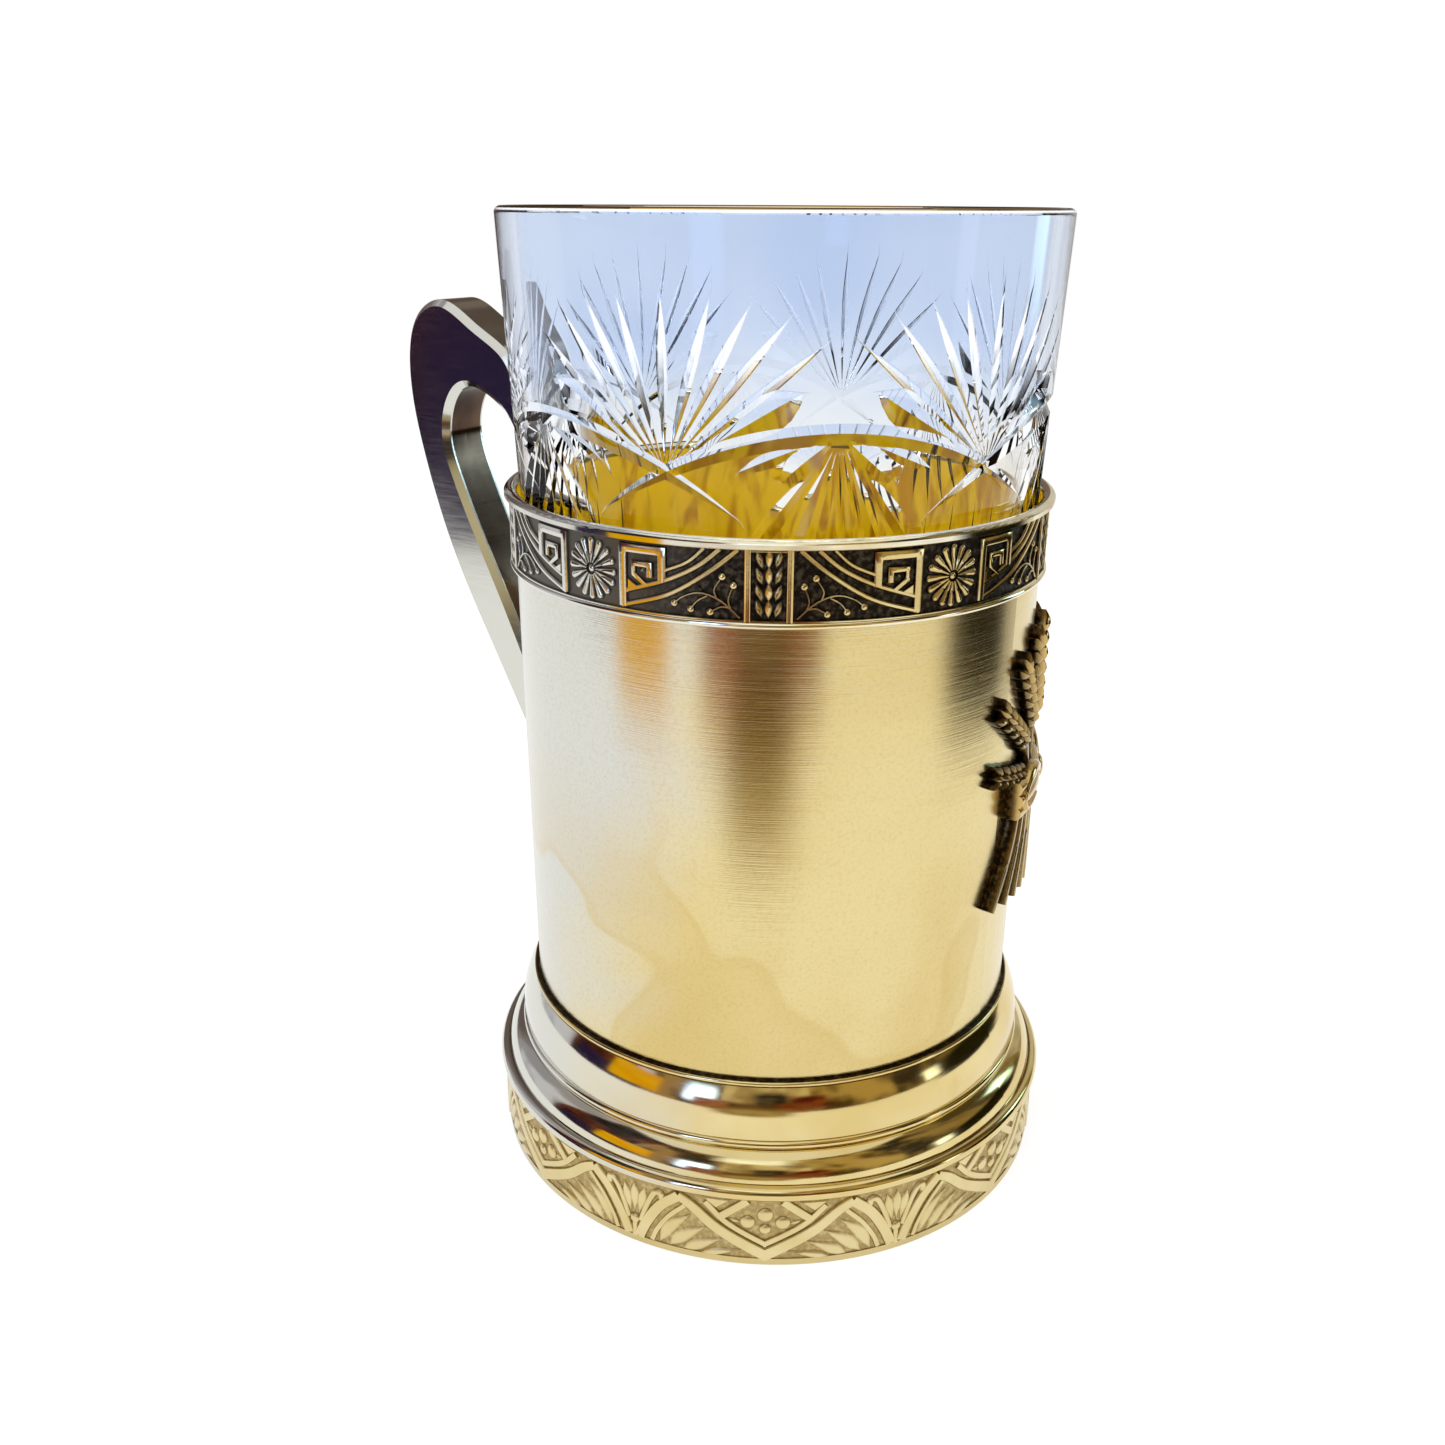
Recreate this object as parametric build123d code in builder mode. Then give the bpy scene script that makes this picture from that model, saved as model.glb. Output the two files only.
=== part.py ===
"""Podstakannik: a sheet-metal tea glass holder on a spun foot, with its tumbler standing in it.

The axis of the holder is Z, the table is Z = 0 and the handle points along -X. Millimetres.
"""
import os
from math import cos, radians, sin

from build123d import *

os.makedirs("parts", exist_ok=True)

# Fits
solder_gap = 0.05
glass_clearance = 0.35
rivet_clearance = 0.05

# Tumbler
glass_height = 105.3
glass_rim_radius = 35.0
glass_base_radius = 30.0
glass_wall = 2.4
glass_floor = 8.0
glass_rim_round = 0.9
glass_base_round = 1.5
glass_punt_radius = 22.0
glass_punt_depth = 1.0

# Heights of the holder above the table
holder_height = 93.2
foot_height = 23.4

# Sleeve and its floor
sleeve_wall = 0.5
sleeve_taper = 0.7
sleeve_engagement = 3.4
floor_thickness = 1.3

# Rim wire, ornament band under it and the wire that closes the band
rim_wire_height = 1.0
rim_wire_width = 1.65
frieze_height = 8.3
frieze_thickness = 0.55
frieze_wire_height = 0.8
frieze_wire_lip = 0.3

# Foot: neck wire, spun shell, bead, ornament band and standing ring
foot_flare = 4.8
foot_wall = 0.8
foot_lip = 0.7
neck_chamfer = 0.35
collar_height = 0.7
collar_lip = 0.4
shoulder_drop = 6.7
shoulder_flare = 2.3
shoulder_fullness = (0.92, 0.52)
fillet_height = 1.6
fillet_flare = 2.6
groove_depth = 0.3
groove_width = 0.2
lower_torus_flare = 2.5
lower_torus_height = 3.2
lower_torus_fullness = (0.64, 0.62)
bead_height = 2.0
bead_lip = 0.2
foot_band_thickness = 0.7
foot_ring_height = 0.9
foot_ring_width = 1.9
foot_ring_overhang = 0.5

# Handle: two cheeks with an outer and an inner strip between them
handle_reach = 29.0
handle_crest = 20.4
handle_width = 8.4
handle_cheek = 1.2
handle_chamfer = 0.9
handle_strip_thickness = 1.0
leg_foot_height = 35.2
neck_pitch = 60.0
neck_outer_stand = 2.2
neck_inner_stand = 2.9
inset_steps = 32

# Pads that carry the ends of the handle
pad_overrun = 2.0
pad_margin = 0.6
pad_corner = 1.5
upper_pad_depth = 2.2
lower_pad_depth = 1.65

# Applied wheat sheaf and its rivets
sheaf_angle = 25.0
sheaf_foot = 41.3
sheaf_relief = 3.2
sheaf_foot_relief = 1.0
sheaf_top_relief = 2.2
sheaf_tie_height = 14.2
sheaf_tie_width = 28.0
sheaf_tie_band_height = 5.5
stalk_spread = 37.0
stalk_waist = 22.0
stalk_bow = 1.4
crown_spread = 28.0
crown_height = 7.5
crown_bow = 8.0
ear_fan_radius = 14.9
ear_length = 13.6
ear_width = 5.6
rivet_radius = 0.8
rivet_depth = 0.6
rivet_head_radius = 1.6
rivet_head_height = 0.5
rivet_foot_rise = 4.0
rivet_ear_rise = 27.0

# Levels that follow from the sizes
sleeve_bottom = foot_height - sleeve_engagement
floor_top = sleeve_bottom + floor_thickness
glass_top = floor_top + glass_height
sleeve_top = holder_height - rim_wire_height
frieze_bottom = sleeve_top - frieze_height
frieze_wire_bottom = frieze_bottom - frieze_wire_height
glass_slope = (glass_rim_radius - glass_base_radius) / glass_height


def glass_radius(z):
    """Outer radius of the tumbler at a height."""
    return glass_base_radius + glass_slope * (z - floor_top)


bore_top = glass_radius(holder_height) + glass_clearance
sleeve_slope = sleeve_taper / (sleeve_top - sleeve_bottom)


def bore_radius(z):
    """Inner radius of the sleeve at a height."""
    return bore_top - sleeve_slope * (sleeve_top - z)


def sleeve_radius(z):
    """Outer radius of the sleeve at a height."""
    return bore_radius(z) + sleeve_wall


frieze_bore = sleeve_radius(sleeve_top) + solder_gap
frieze_radius = frieze_bore + frieze_thickness
neck_radius = sleeve_radius(foot_height) + solder_gap
drum_radius = neck_radius + foot_flare
shoulder_bottom = foot_height - shoulder_drop
torus_top = shoulder_bottom - fillet_height
torus_bottom = torus_top - lower_torus_height
bead_bottom = torus_bottom - bead_height
foot_band_bore = drum_radius + solder_gap


def half_round_ring(bore, bottom, top, lip):
    """Ring of half-round wire laid round a cylinder: a flat lip, then the round."""
    round_radius = (top - bottom) / 2
    with BuildPart() as ring:
        with BuildSketch(Plane.XZ):
            with BuildLine():
                Polyline((bore + lip, bottom), (bore, bottom), (bore, top), (bore + lip, top))
                ThreePointArc(
                    (bore + lip, top),
                    (bore + lip + round_radius, bottom + round_radius),
                    (bore + lip, bottom),
                )
            make_face()
        revolve(axis=Axis.Z)
    return ring.part


def flat_ring(bore, radius, bottom, top):
    """Ring of rectangular section."""
    with BuildPart() as ring:
        with BuildSketch(Plane.XY.offset(bottom)):
            Circle(radius)
            Circle(bore, mode=Mode.SUBTRACT)
        extrude(amount=top - bottom)
    return ring.part


def finish(piece, name):
    """Label a piece and write it."""
    piece.label = name
    export_step(piece, f"parts/{name}.step")


# Tumbler: tapered wall, thick base with a shallow hollow under it
with BuildPart() as glass_tumbler:
    inner_floor = floor_top + glass_floor
    with BuildSketch(Plane.XZ):
        with BuildLine():
            TangentArc(
                (0, floor_top + glass_punt_depth), (glass_punt_radius, floor_top), tangent=(1, 0)
            )
            Polyline(
                (glass_punt_radius, floor_top),
                (glass_base_radius, floor_top),
                (glass_rim_radius, glass_top),
                (glass_rim_radius - glass_wall, glass_top),
                (glass_radius(inner_floor) - glass_wall, inner_floor),
                (0, inner_floor),
                (0, floor_top + glass_punt_depth),
            )
        make_face()
    revolve(axis=Axis.Z)
    rim_edges = glass_tumbler.edges().filter_by(GeomType.CIRCLE).group_by(Axis.Z)[-1]
    fillet(rim_edges, glass_rim_round)
    heel = glass_tumbler.edges().filter_by(GeomType.CIRCLE).group_by(Axis.Z)[0].sort_by(SortBy.RADIUS)
    fillet(heel[-1], glass_base_round)
finish(glass_tumbler.part, "glass_tumbler")

# Where the sheaf's plane touches the sleeve: its local Y is the height above the table
sheaf_axis = Vector(cos(radians(sheaf_angle)), sin(radians(sheaf_angle)), 0)
sheaf_side = Vector(-sin(radians(sheaf_angle)), cos(radians(sheaf_angle)), 0)
sheaf_tie = sheaf_foot + sheaf_tie_height


def sheaf_plane(radius):
    """Plane across the sheaf's axis at a radius, facing outwards."""
    return Plane(origin=sheaf_axis * radius, x_dir=sheaf_side, z_dir=sheaf_axis)


def rivet_points():
    """Places of the rivets in the sheaf's plane."""
    rises = (rivet_foot_rise, sheaf_tie_height, rivet_ear_rise)
    return [(0, sheaf_foot + rise) for rise in rises]


# Sleeve: slightly tapered tube, pierced for the rivets
with BuildPart() as body_sleeve:
    with BuildSketch(Plane.XZ):
        with BuildLine():
            Polyline(
                (bore_radius(sleeve_bottom), sleeve_bottom),
                (sleeve_radius(sleeve_bottom), sleeve_bottom),
                (sleeve_radius(sleeve_top), sleeve_top),
                (bore_radius(sleeve_top), sleeve_top),
                close=True,
            )
        make_face()
    revolve(axis=Axis.Z)
    with BuildSketch(sheaf_plane(0)):
        with Locations(*rivet_points()):
            Circle(rivet_radius + rivet_clearance)
    extrude(amount=2 * bore_top, mode=Mode.SUBTRACT)
finish(body_sleeve.part, "body_sleeve")

# Floor that the tumbler stands on, soldered into the foot of the sleeve
with BuildPart() as floor_disc:
    with BuildSketch(Plane.XY.offset(sleeve_bottom)):
        Circle(bore_radius(sleeve_bottom) - solder_gap)
    extrude(amount=floor_thickness)
finish(floor_disc.part, "floor_disc")

# Rim wire on the edge of the sleeve, flat below and rounded above
with BuildPart() as rim_wire:
    with BuildSketch(Plane.XZ):
        with BuildLine():
            Line((bore_top, sleeve_top), (bore_top + rim_wire_width, sleeve_top))
            Line(
                (bore_top + rim_wire_width, sleeve_top),
                (bore_top + rim_wire_width, sleeve_top + rim_wire_height / 2),
            )
            ThreePointArc(
                (bore_top + rim_wire_width, sleeve_top + rim_wire_height / 2),
                (bore_top + rim_wire_width / 2, holder_height),
                (bore_top, sleeve_top + rim_wire_height / 2),
            )
            Line((bore_top, sleeve_top + rim_wire_height / 2), (bore_top, sleeve_top))
        make_face()
    revolve(axis=Axis.Z)
finish(rim_wire.part, "rim_wire")

# Ornament band and closing wire under the rim
finish(flat_ring(frieze_bore, frieze_radius, frieze_bottom, sleeve_top), "frieze_band")
finish(
    half_round_ring(frieze_bore, frieze_wire_bottom, frieze_bottom, frieze_wire_lip),
    "frieze_wire",
)

# Neck wire where the sleeve enters the foot
finish(
    half_round_ring(neck_radius, foot_height, foot_height + collar_height, collar_lip),
    "foot_collar",
)

# Spun foot: rounded shoulder, fillet between two grooves, rounded lower moulding and a straight drum
with BuildPart() as foot_shell:
    lip_radius = neck_radius + foot_lip
    shoulder_radius = neck_radius + shoulder_flare
    torus_radius = neck_radius + lower_torus_flare
    inner_drum = drum_radius - foot_wall
    inner_waist = shoulder_radius - groove_depth - foot_wall
    wide, high = shoulder_fullness
    torus_wide, torus_high = lower_torus_fullness
    fillet_top = shoulder_bottom - groove_width
    fillet_bottom = torus_top + groove_width
    with BuildSketch(Plane.XZ):
        with BuildLine():
            Polyline(
                (inner_drum, foot_ring_height),
                (inner_drum, torus_bottom - foot_wall),
                (inner_waist, torus_top),
                (inner_waist, shoulder_bottom),
                (neck_radius, sleeve_bottom + neck_chamfer),
                (neck_radius, foot_height),
                (lip_radius, foot_height),
            )
            ThreePointArc(
                (lip_radius, foot_height),
                (lip_radius + wide * (shoulder_radius - lip_radius), shoulder_bottom + high * shoulder_drop),
                (shoulder_radius, shoulder_bottom),
            )
            Line((shoulder_radius, shoulder_bottom), (shoulder_radius - groove_depth, fillet_top))
            ThreePointArc(
                (shoulder_radius - groove_depth, fillet_top),
                (neck_radius + fillet_flare, (fillet_top + fillet_bottom) / 2),
                (shoulder_radius - groove_depth, fillet_bottom),
            )
            Line((shoulder_radius - groove_depth, fillet_bottom), (torus_radius, torus_top))
            ThreePointArc(
                (torus_radius, torus_top),
                (
                    torus_radius + torus_wide * (drum_radius - torus_radius),
                    torus_bottom + torus_high * lower_torus_height,
                ),
                (drum_radius, torus_bottom),
            )
            Polyline(
                (drum_radius, torus_bottom),
                (drum_radius, foot_ring_height),
                (inner_drum, foot_ring_height),
            )
        make_face()
    revolve(axis=Axis.Z)
finish(foot_shell.part, "foot_shell")

# Bead, ornament band and standing ring round the drum of the foot
finish(half_round_ring(foot_band_bore, bead_bottom, torus_bottom, bead_lip), "foot_bead")
finish(
    flat_ring(foot_band_bore, foot_band_bore + foot_band_thickness, foot_ring_height, bead_bottom),
    "foot_band",
)
ring_radius = drum_radius + foot_ring_overhang
finish(flat_ring(ring_radius - foot_ring_width, ring_radius, 0, foot_ring_height), "foot_ring")

# Handle, seen from the side: reach from the wall of the sleeve, rise from the foot of its leg
handle_wall = sleeve_radius(sleeve_top)
handle_rise = holder_height + handle_crest - leg_foot_height
upper_pad_face = frieze_radius + solder_gap + upper_pad_depth
lower_pad_face = sleeve_radius(leg_foot_height) + solder_gap + lower_pad_depth


def on_handle(reach, rise):
    """Point of the side view at a share of the handle's reach and of its rise."""
    return (-handle_wall - reach * handle_reach, leg_foot_height + rise * handle_rise)


def on_neck(beyond, share):
    """Point beyond the upper pad's face, at a share of the ornament band's height."""
    return (-upper_pad_face - beyond, frieze_bottom + share * frieze_height)


def right_of(edge, share):
    """Point of an edge of the outline, moved into the metal by the thickness of a strip."""
    tangent = edge % share
    return edge @ share + Vector(tangent.Y, -tangent.X) * handle_strip_thickness


def inset_curve(edge):
    """Curve that follows an edge of the outline one strip inside it."""
    return Spline(*[right_of(edge, step / inset_steps) for step in range(inset_steps + 1)])


# The outline runs clockwise, and past the faces of both pads
with BuildSketch() as handle_blank:
    outer_knee = on_handle(0.487, 0.330)
    inner_knee = on_handle(0.298, 0.384)
    outer_start = on_handle(-0.03, -0.024)
    inner_start = on_handle(-0.03, 0.124)
    outer_end = on_neck(-pad_overrun, 0.48)
    inner_end = on_neck(-pad_overrun, -0.33)
    neck_way = Vector(cos(radians(neck_pitch)), -sin(radians(neck_pitch)))
    with BuildLine():
        outer_leg = Line(outer_start, outer_knee)
        outer_curve = Spline(
            outer_knee,
            on_handle(0.746, 0.514),
            on_handle(0.939, 0.721),
            on_handle(0.998, 0.870),
            on_handle(0.905, 0.975),
            on_handle(0.763, 1.0),
            on_handle(0.508, 0.959),
            on_handle(0.295, 0.908),
            on_neck(neck_outer_stand, 1.36),
            outer_end,
            tangents=(outer_leg % 1, neck_way),
        )
        Line(outer_end, inner_end)
        inner_leg = Line(inner_knee, inner_start)
        inner_curve = Spline(
            inner_end,
            on_neck(neck_inner_stand, 0.58),
            on_handle(0.330, 0.800),
            on_handle(0.430, 0.829),
            on_handle(0.607, 0.846),
            on_handle(0.735, 0.770),
            on_handle(0.690, 0.685),
            on_handle(0.536, 0.561),
            inner_knee,
            tangents=(-neck_way, inner_leg % 0),
        )
        Line(inner_start, outer_start)
    make_face()

with BuildSketch() as handle_core:
    with BuildLine():
        core_outer = inset_curve(outer_curve)
        core_inner = inset_curve(inner_curve)
        Line(right_of(outer_leg, 0), core_outer @ 0)
        Line(core_outer @ 1, core_inner @ 0)
        Line(core_inner @ 1, right_of(inner_leg, 1))
        Line(right_of(inner_leg, 1), right_of(outer_leg, 0))
    make_face()

with BuildSketch() as handle_ends:
    with Locations((-upper_pad_face, frieze_bottom)):
        Rectangle(frieze_bore, 4 * frieze_height, align=(Align.MIN, Align.CENTER))
    with Locations((-lower_pad_face, leg_foot_height)):
        Rectangle(frieze_bore, handle_rise, align=(Align.MIN, Align.CENTER))

with BuildSketch() as handle_side:
    add(handle_blank.sketch)
    add(handle_ends.sketch, mode=Mode.SUBTRACT)

with BuildSketch() as handle_edging:
    add(handle_side.sketch)
    add(handle_core.sketch, mode=Mode.SUBTRACT)

# Cheeks: flat plates with their outer edges bevelled
web = handle_width - 2 * handle_cheek
for name, side in (("handle_left_cheek", -1), ("handle_right_cheek", 1)):
    with BuildPart() as cheek:
        with BuildSketch(Plane.XZ.offset(side * web / 2)):
            add(handle_side.sketch)
        extrude(amount=side * handle_cheek)
        face = cheek.faces().filter_by(Axis.Y).sort_by(Axis.Y)[0 if side > 0 else -1]
        chamfer(face.edges().filter_by(Axis.Z, reverse=True), handle_chamfer)
    finish(cheek.part, name)

# Strips that close the handle between its cheeks
with BuildPart() as handle_strips:
    with BuildSketch(Plane.XZ):
        add(handle_edging.sketch)
    extrude(amount=web / 2, both=True)
strip_names = ("handle_inner_strip", "handle_outer_strip")
for name, solid in zip(strip_names, handle_strips.solids().sort_by(SortBy.VOLUME)):
    with BuildPart() as strip:
        add(solid)
    finish(strip.part, name)

# Pads under the handle's ends, hollowed to the wall that they are soldered to
upper_end = handle_side.edges().filter_by(Axis.Y).sort_by(Axis.Y)[-1]
lower_end = handle_side.edges().filter_by(Axis.Y).sort_by(Axis.Y)[0]
pads = (
    ("handle_upper_joint", upper_end, upper_pad_face, lambda z: frieze_radius),
    ("handle_lower_joint", lower_end, lower_pad_face, sleeve_radius),
)
for name, end, pad_face, wall_radius in pads:
    with BuildPart() as pad:
        with BuildSketch(Plane.YZ.offset(-pad_face)):
            with Locations((0, end.center().Y)):
                RectangleRounded(handle_width + 2 * pad_margin, end.length + 2 * pad_margin, pad_corner)
        extrude(amount=pad_face / 2)
        wall_bottom = end.center().Y - end.length
        wall_top = end.center().Y + end.length
        with BuildSketch(Plane.XZ):
            with BuildLine():
                Polyline(
                    (0, wall_bottom),
                    (wall_radius(wall_bottom) + solder_gap, wall_bottom),
                    (wall_radius(wall_top) + solder_gap, wall_top),
                    (0, wall_top),
                    close=True,
                )
            make_face()
        revolve(axis=Axis.Z, mode=Mode.SUBTRACT)
    finish(pad.part, name)

# Wheat sheaf: ears fanned out above the tie, cut stalks below it
# Each row: lean from upright, then shares of the fan's radius and of the longest ear
ear_rows = ((0, 1, 1), (17, 1.03, 0.97), (34, 1.09, 0.94), (53, 1.16, 0.93), (75, 0.97, 0.82))
with BuildSketch() as sheaf_outline:
    for lean, fan_share, length_share in ear_rows:
        for turn in sorted({90 - lean, 90 + lean}):
            middle = Vector(0, sheaf_tie) + Vector(1, 0).rotate(Axis.Z, turn) * fan_share * ear_fan_radius
            with Locations(Location(middle, (0, 0, turn))):
                Ellipse(length_share * ear_length / 2, ear_width / 2)
    crown = sheaf_tie + crown_height
    with BuildLine():
        Polyline((-stalk_spread / 2, sheaf_foot), (-stalk_waist / 2, sheaf_tie), (-crown_spread / 2, crown))
        ThreePointArc((-crown_spread / 2, crown), (0, crown + crown_bow), (crown_spread / 2, crown))
        Polyline((crown_spread / 2, crown), (stalk_waist / 2, sheaf_tie), (stalk_spread / 2, sheaf_foot))
        ThreePointArc(
            (stalk_spread / 2, sheaf_foot), (0, sheaf_foot - stalk_bow), (-stalk_spread / 2, sheaf_foot)
        )
    make_face()
    with Locations((0, sheaf_tie)):
        RectangleRounded(sheaf_tie_width, sheaf_tie_band_height, sheaf_tie_band_height / 3)

with BuildPart() as applique_sheaf:
    envelope_bottom = sheaf_foot - 2 * stalk_bow
    envelope_top = frieze_wire_bottom
    with BuildSketch(sheaf_plane(0)):
        add(sheaf_outline.sketch)
    extrude(amount=sleeve_radius(envelope_top) + 2 * sheaf_relief)
    with BuildSketch(Plane.XZ):
        with BuildLine():
            Polyline(
                (sleeve_radius(envelope_bottom) + solder_gap, envelope_bottom),
                (sleeve_radius(envelope_bottom) + sheaf_foot_relief, envelope_bottom),
                (sleeve_radius(sheaf_tie) + sheaf_relief, sheaf_tie + sheaf_tie_band_height),
                (sleeve_radius(envelope_top) + sheaf_top_relief, envelope_top),
                (sleeve_radius(envelope_top) + solder_gap, envelope_top),
                close=True,
            )
        make_face()
    revolve(axis=Axis.Z, mode=Mode.INTERSECT)
    with BuildSketch(sheaf_plane(0)):
        with Locations(*rivet_points()):
            Circle(rivet_radius + rivet_clearance)
    extrude(amount=sleeve_radius(sheaf_foot) + rivet_depth + rivet_clearance, mode=Mode.SUBTRACT)
finish(applique_sheaf.part, "applique_sheaf")

# Rivets: heads inside the sleeve, shanks through its wall into the back of the sheaf
with BuildPart() as applique_rivets:
    for x, z in rivet_points():
        head_face = bore_radius(z) - solder_gap - rivet_head_height
        head_sagitta = rivet_head_radius**2 / (2 * bore_radius(z))
        with BuildSketch(sheaf_plane(head_face)):
            with Locations((x, z)):
                Circle(rivet_head_radius)
        extrude(amount=rivet_head_height - head_sagitta)
        with BuildSketch(sheaf_plane(head_face)):
            with Locations((x, z)):
                Circle(rivet_radius)
        extrude(amount=sleeve_radius(sheaf_foot) + rivet_depth - head_face)
finish(applique_rivets.part, "applique_rivets")
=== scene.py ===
"""Looks of the podstakannik: cut-glass tumbler, gilt sleeve, ornament bands, spun foot, sheaf and handle.

Built in the frame of the CAD: the axis is Z, the table is Z = 0 and the handle points along -X.
Shapes are worked out in millimetres and put into Blender in metres. The stage is laid out in metres.
"""
from math import cos, log, pi, radians, sin

import bmesh
import bpy
from mathutils import Matrix, Vector
from mathutils.geometry import delaunay_2d_cdt


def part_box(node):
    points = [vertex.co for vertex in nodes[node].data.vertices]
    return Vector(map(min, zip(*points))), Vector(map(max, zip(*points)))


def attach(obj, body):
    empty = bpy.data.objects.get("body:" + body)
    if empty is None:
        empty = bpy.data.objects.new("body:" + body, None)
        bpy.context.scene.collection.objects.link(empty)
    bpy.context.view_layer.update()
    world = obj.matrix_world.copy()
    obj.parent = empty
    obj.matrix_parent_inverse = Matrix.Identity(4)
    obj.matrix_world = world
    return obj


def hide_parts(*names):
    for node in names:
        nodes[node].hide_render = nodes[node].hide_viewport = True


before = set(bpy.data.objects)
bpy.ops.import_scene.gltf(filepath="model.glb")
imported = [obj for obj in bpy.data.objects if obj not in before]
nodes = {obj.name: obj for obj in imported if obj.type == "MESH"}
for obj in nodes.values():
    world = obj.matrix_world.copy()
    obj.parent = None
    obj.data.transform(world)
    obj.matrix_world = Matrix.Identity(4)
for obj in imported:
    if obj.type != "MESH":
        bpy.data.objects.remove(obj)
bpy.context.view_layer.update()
scene = bpy.context.scene
scene.view_settings.view_transform = "Standard"

MM = 0.001

# Camera, as in the photograph
CAMERA_TURN = radians(32)
CAMERA_DISTANCE = 182.1
CAMERA_HEIGHT = 127.3
CAMERA_PITCH = 0.3577
CAMERA_YAW = -0.0389
CAMERA_ROLL = 0.0052
CAMERA_LENS = 34.85
CAMERA_SENSOR = 36.0
# Angle round the axis of the point that faces the camera
FRONT = radians(-90) + CAMERA_TURN

# Angle round the axis of the side that turns silver: gilding worn by handling, partly a painted cool
# reflection
WORN_AND_LIT_SIDE = FRONT + radians(-80)
# Heights between which the edge of the silver side shifts, and how uneven it is
WORN_AND_LIT_HEIGHTS = (20.0, 62.0)
WORN_AND_LIT_SHIFTS = (-13.0, 4.0)
WORN_AND_LIT_UNEVEN = 9.0

# Colours, as sRGB
PALE_GILT = (223, 205, 149)
WARM_GILT = (212, 188, 124)
AGED_GILT = (196, 166, 104)
SILVER_WEAR_AND_COOL_LIGHT = (208, 208, 200)
DULL_SILVER = (205, 200, 186)
BRIGHT_RIM = (240, 234, 212)
MATTE_GILT = (215, 197, 141)
MATTE_LIGHT = (226, 210, 160)
MATTE_SHADE = (172, 150, 98)
MATTE_GROUND = (202, 182, 130)
MATTE_WORN_AND_LIT = (214, 204, 174)
YELLOW_GILT = (248, 204, 10)
DEEP_YELLOW = (208, 152, 4)
AMBER_SHADE = (128, 80, 4)
PATINA = (34, 29, 23)
BROWN_PATINA = (84, 75, 60)
GREY_PATINA = (104, 102, 94)
BRONZE_PATINA = (36, 27, 16)
BRONZE_SHADE = (98, 76, 44)
BRONZE_POLISH_AND_HIGHLIGHT = (200, 172, 112)
SEAM_DARK = (38, 30, 16)
SEAM_BROWN = (92, 74, 42)
GRIME = (150, 130, 84)
WATER_STAIN = (204, 178, 108)
# Handle's inner strip: painted dark reflection
STRIP_REFLECTION = (102, 82, 66)
DARK_STRIP_REFLECTION = (54, 42, 36)
CRYSTAL = (217, 228, 246)
CRYSTAL_PALE = (228, 236, 249)
CRYSTAL_CLEAR = (250, 250, 248)
CUT_GLITTER_WHITE = (246, 249, 255)
CRYSTAL_RIM = (206, 174, 116)


def linear(colour):
    """Linear colour from sRGB bytes."""
    shares = [channel / 255 for channel in colour]
    values = [s / 12.92 if s <= 0.04045 else ((s + 0.055) / 1.055) ** 2.4 for s in shares]
    return (*values, 1.0)


def box_mm(node):
    """Lowest and highest corner of a CAD node, in millimetres."""
    low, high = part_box(node)
    return low / MM, high / MM


def polar(radius, angle, z):
    """Point in metres from a radius and a height in millimetres."""
    return Vector((radius * cos(angle), radius * sin(angle), z)) * MM


def mesh_object(name, points, faces, material, crease):
    """Object from points in metres, welded, with edges sharp above an angle."""
    mesh = bpy.data.meshes.new(name)
    mesh.from_pydata(points, [], faces)
    work = bmesh.new()
    work.from_mesh(mesh)
    bmesh.ops.remove_doubles(work, verts=work.verts, dist=1e-7)
    bmesh.ops.recalc_face_normals(work, faces=work.faces)
    work.to_mesh(mesh)
    work.free()
    mesh.shade_smooth()
    mesh.set_sharp_from_angle(angle=crease)
    mesh.materials.append(material)
    piece = bpy.data.objects.new(name, mesh)
    scene.collection.objects.link(piece)
    return piece


def spline(points, steps=6):
    """Points along a smooth curve through the given ones."""
    points = [Vector(p) for p in points]
    ends = [2 * points[0] - points[1]] + points + [2 * points[-1] - points[-2]]
    curve = [points[0]]
    for i in range(1, len(ends) - 2):
        before, start, end, after = ends[i - 1 : i + 3]
        for k in range(1, steps + 1):
            t = k / steps
            slope = (end - before) * t
            bend = (2 * before - 5 * start + 4 * end - after) * t**2
            twist = (3 * start - before - 3 * end + after) * t**3
            curve.append(0.5 * (2 * start + slope + bend + twist))
    return curve


def segments(points, longest):
    """Points along straight runs, no further apart than the longest step."""
    points = [Vector(p) for p in points]
    line = [points[0]]
    for start, end in zip(points, points[1:]):
        count = max(1, round((end - start).length / longest))
        line += [start.lerp(end, k / count) for k in range(1, count + 1)]
    return line


def across(direction):
    """Unit vector to the left of a direction in the plane."""
    return Vector((-direction.y, direction.x)).normalized()


# Half sections of raised work, as shares of the half width and of the height
WIRE = ((-1, 0), (-0.8, 0.55), (-0.35, 0.95), (0.35, 0.95), (0.8, 0.55), (1, 0))
BAR = ((-1, 0), (-0.82, 0.85), (-0.6, 1), (0.6, 1), (0.82, 0.85), (1, 0))
RIDGE = ((-1, 0), (-0.6, 0.62), (0, 1), (0.6, 0.62), (1, 0))


def sides(path, mitre=0.4):
    """Way to the left at each point of a path, longer where it bends."""
    result = []
    for i, point in enumerate(path):
        before = point - path[i - 1] if i else path[1] - point
        after = path[i + 1] - point if i + 1 < len(path) else before
        left = (across(before) + across(after)).normalized()
        result.append(left / max(mitre, left.dot(across(before))))
    return result


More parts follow.
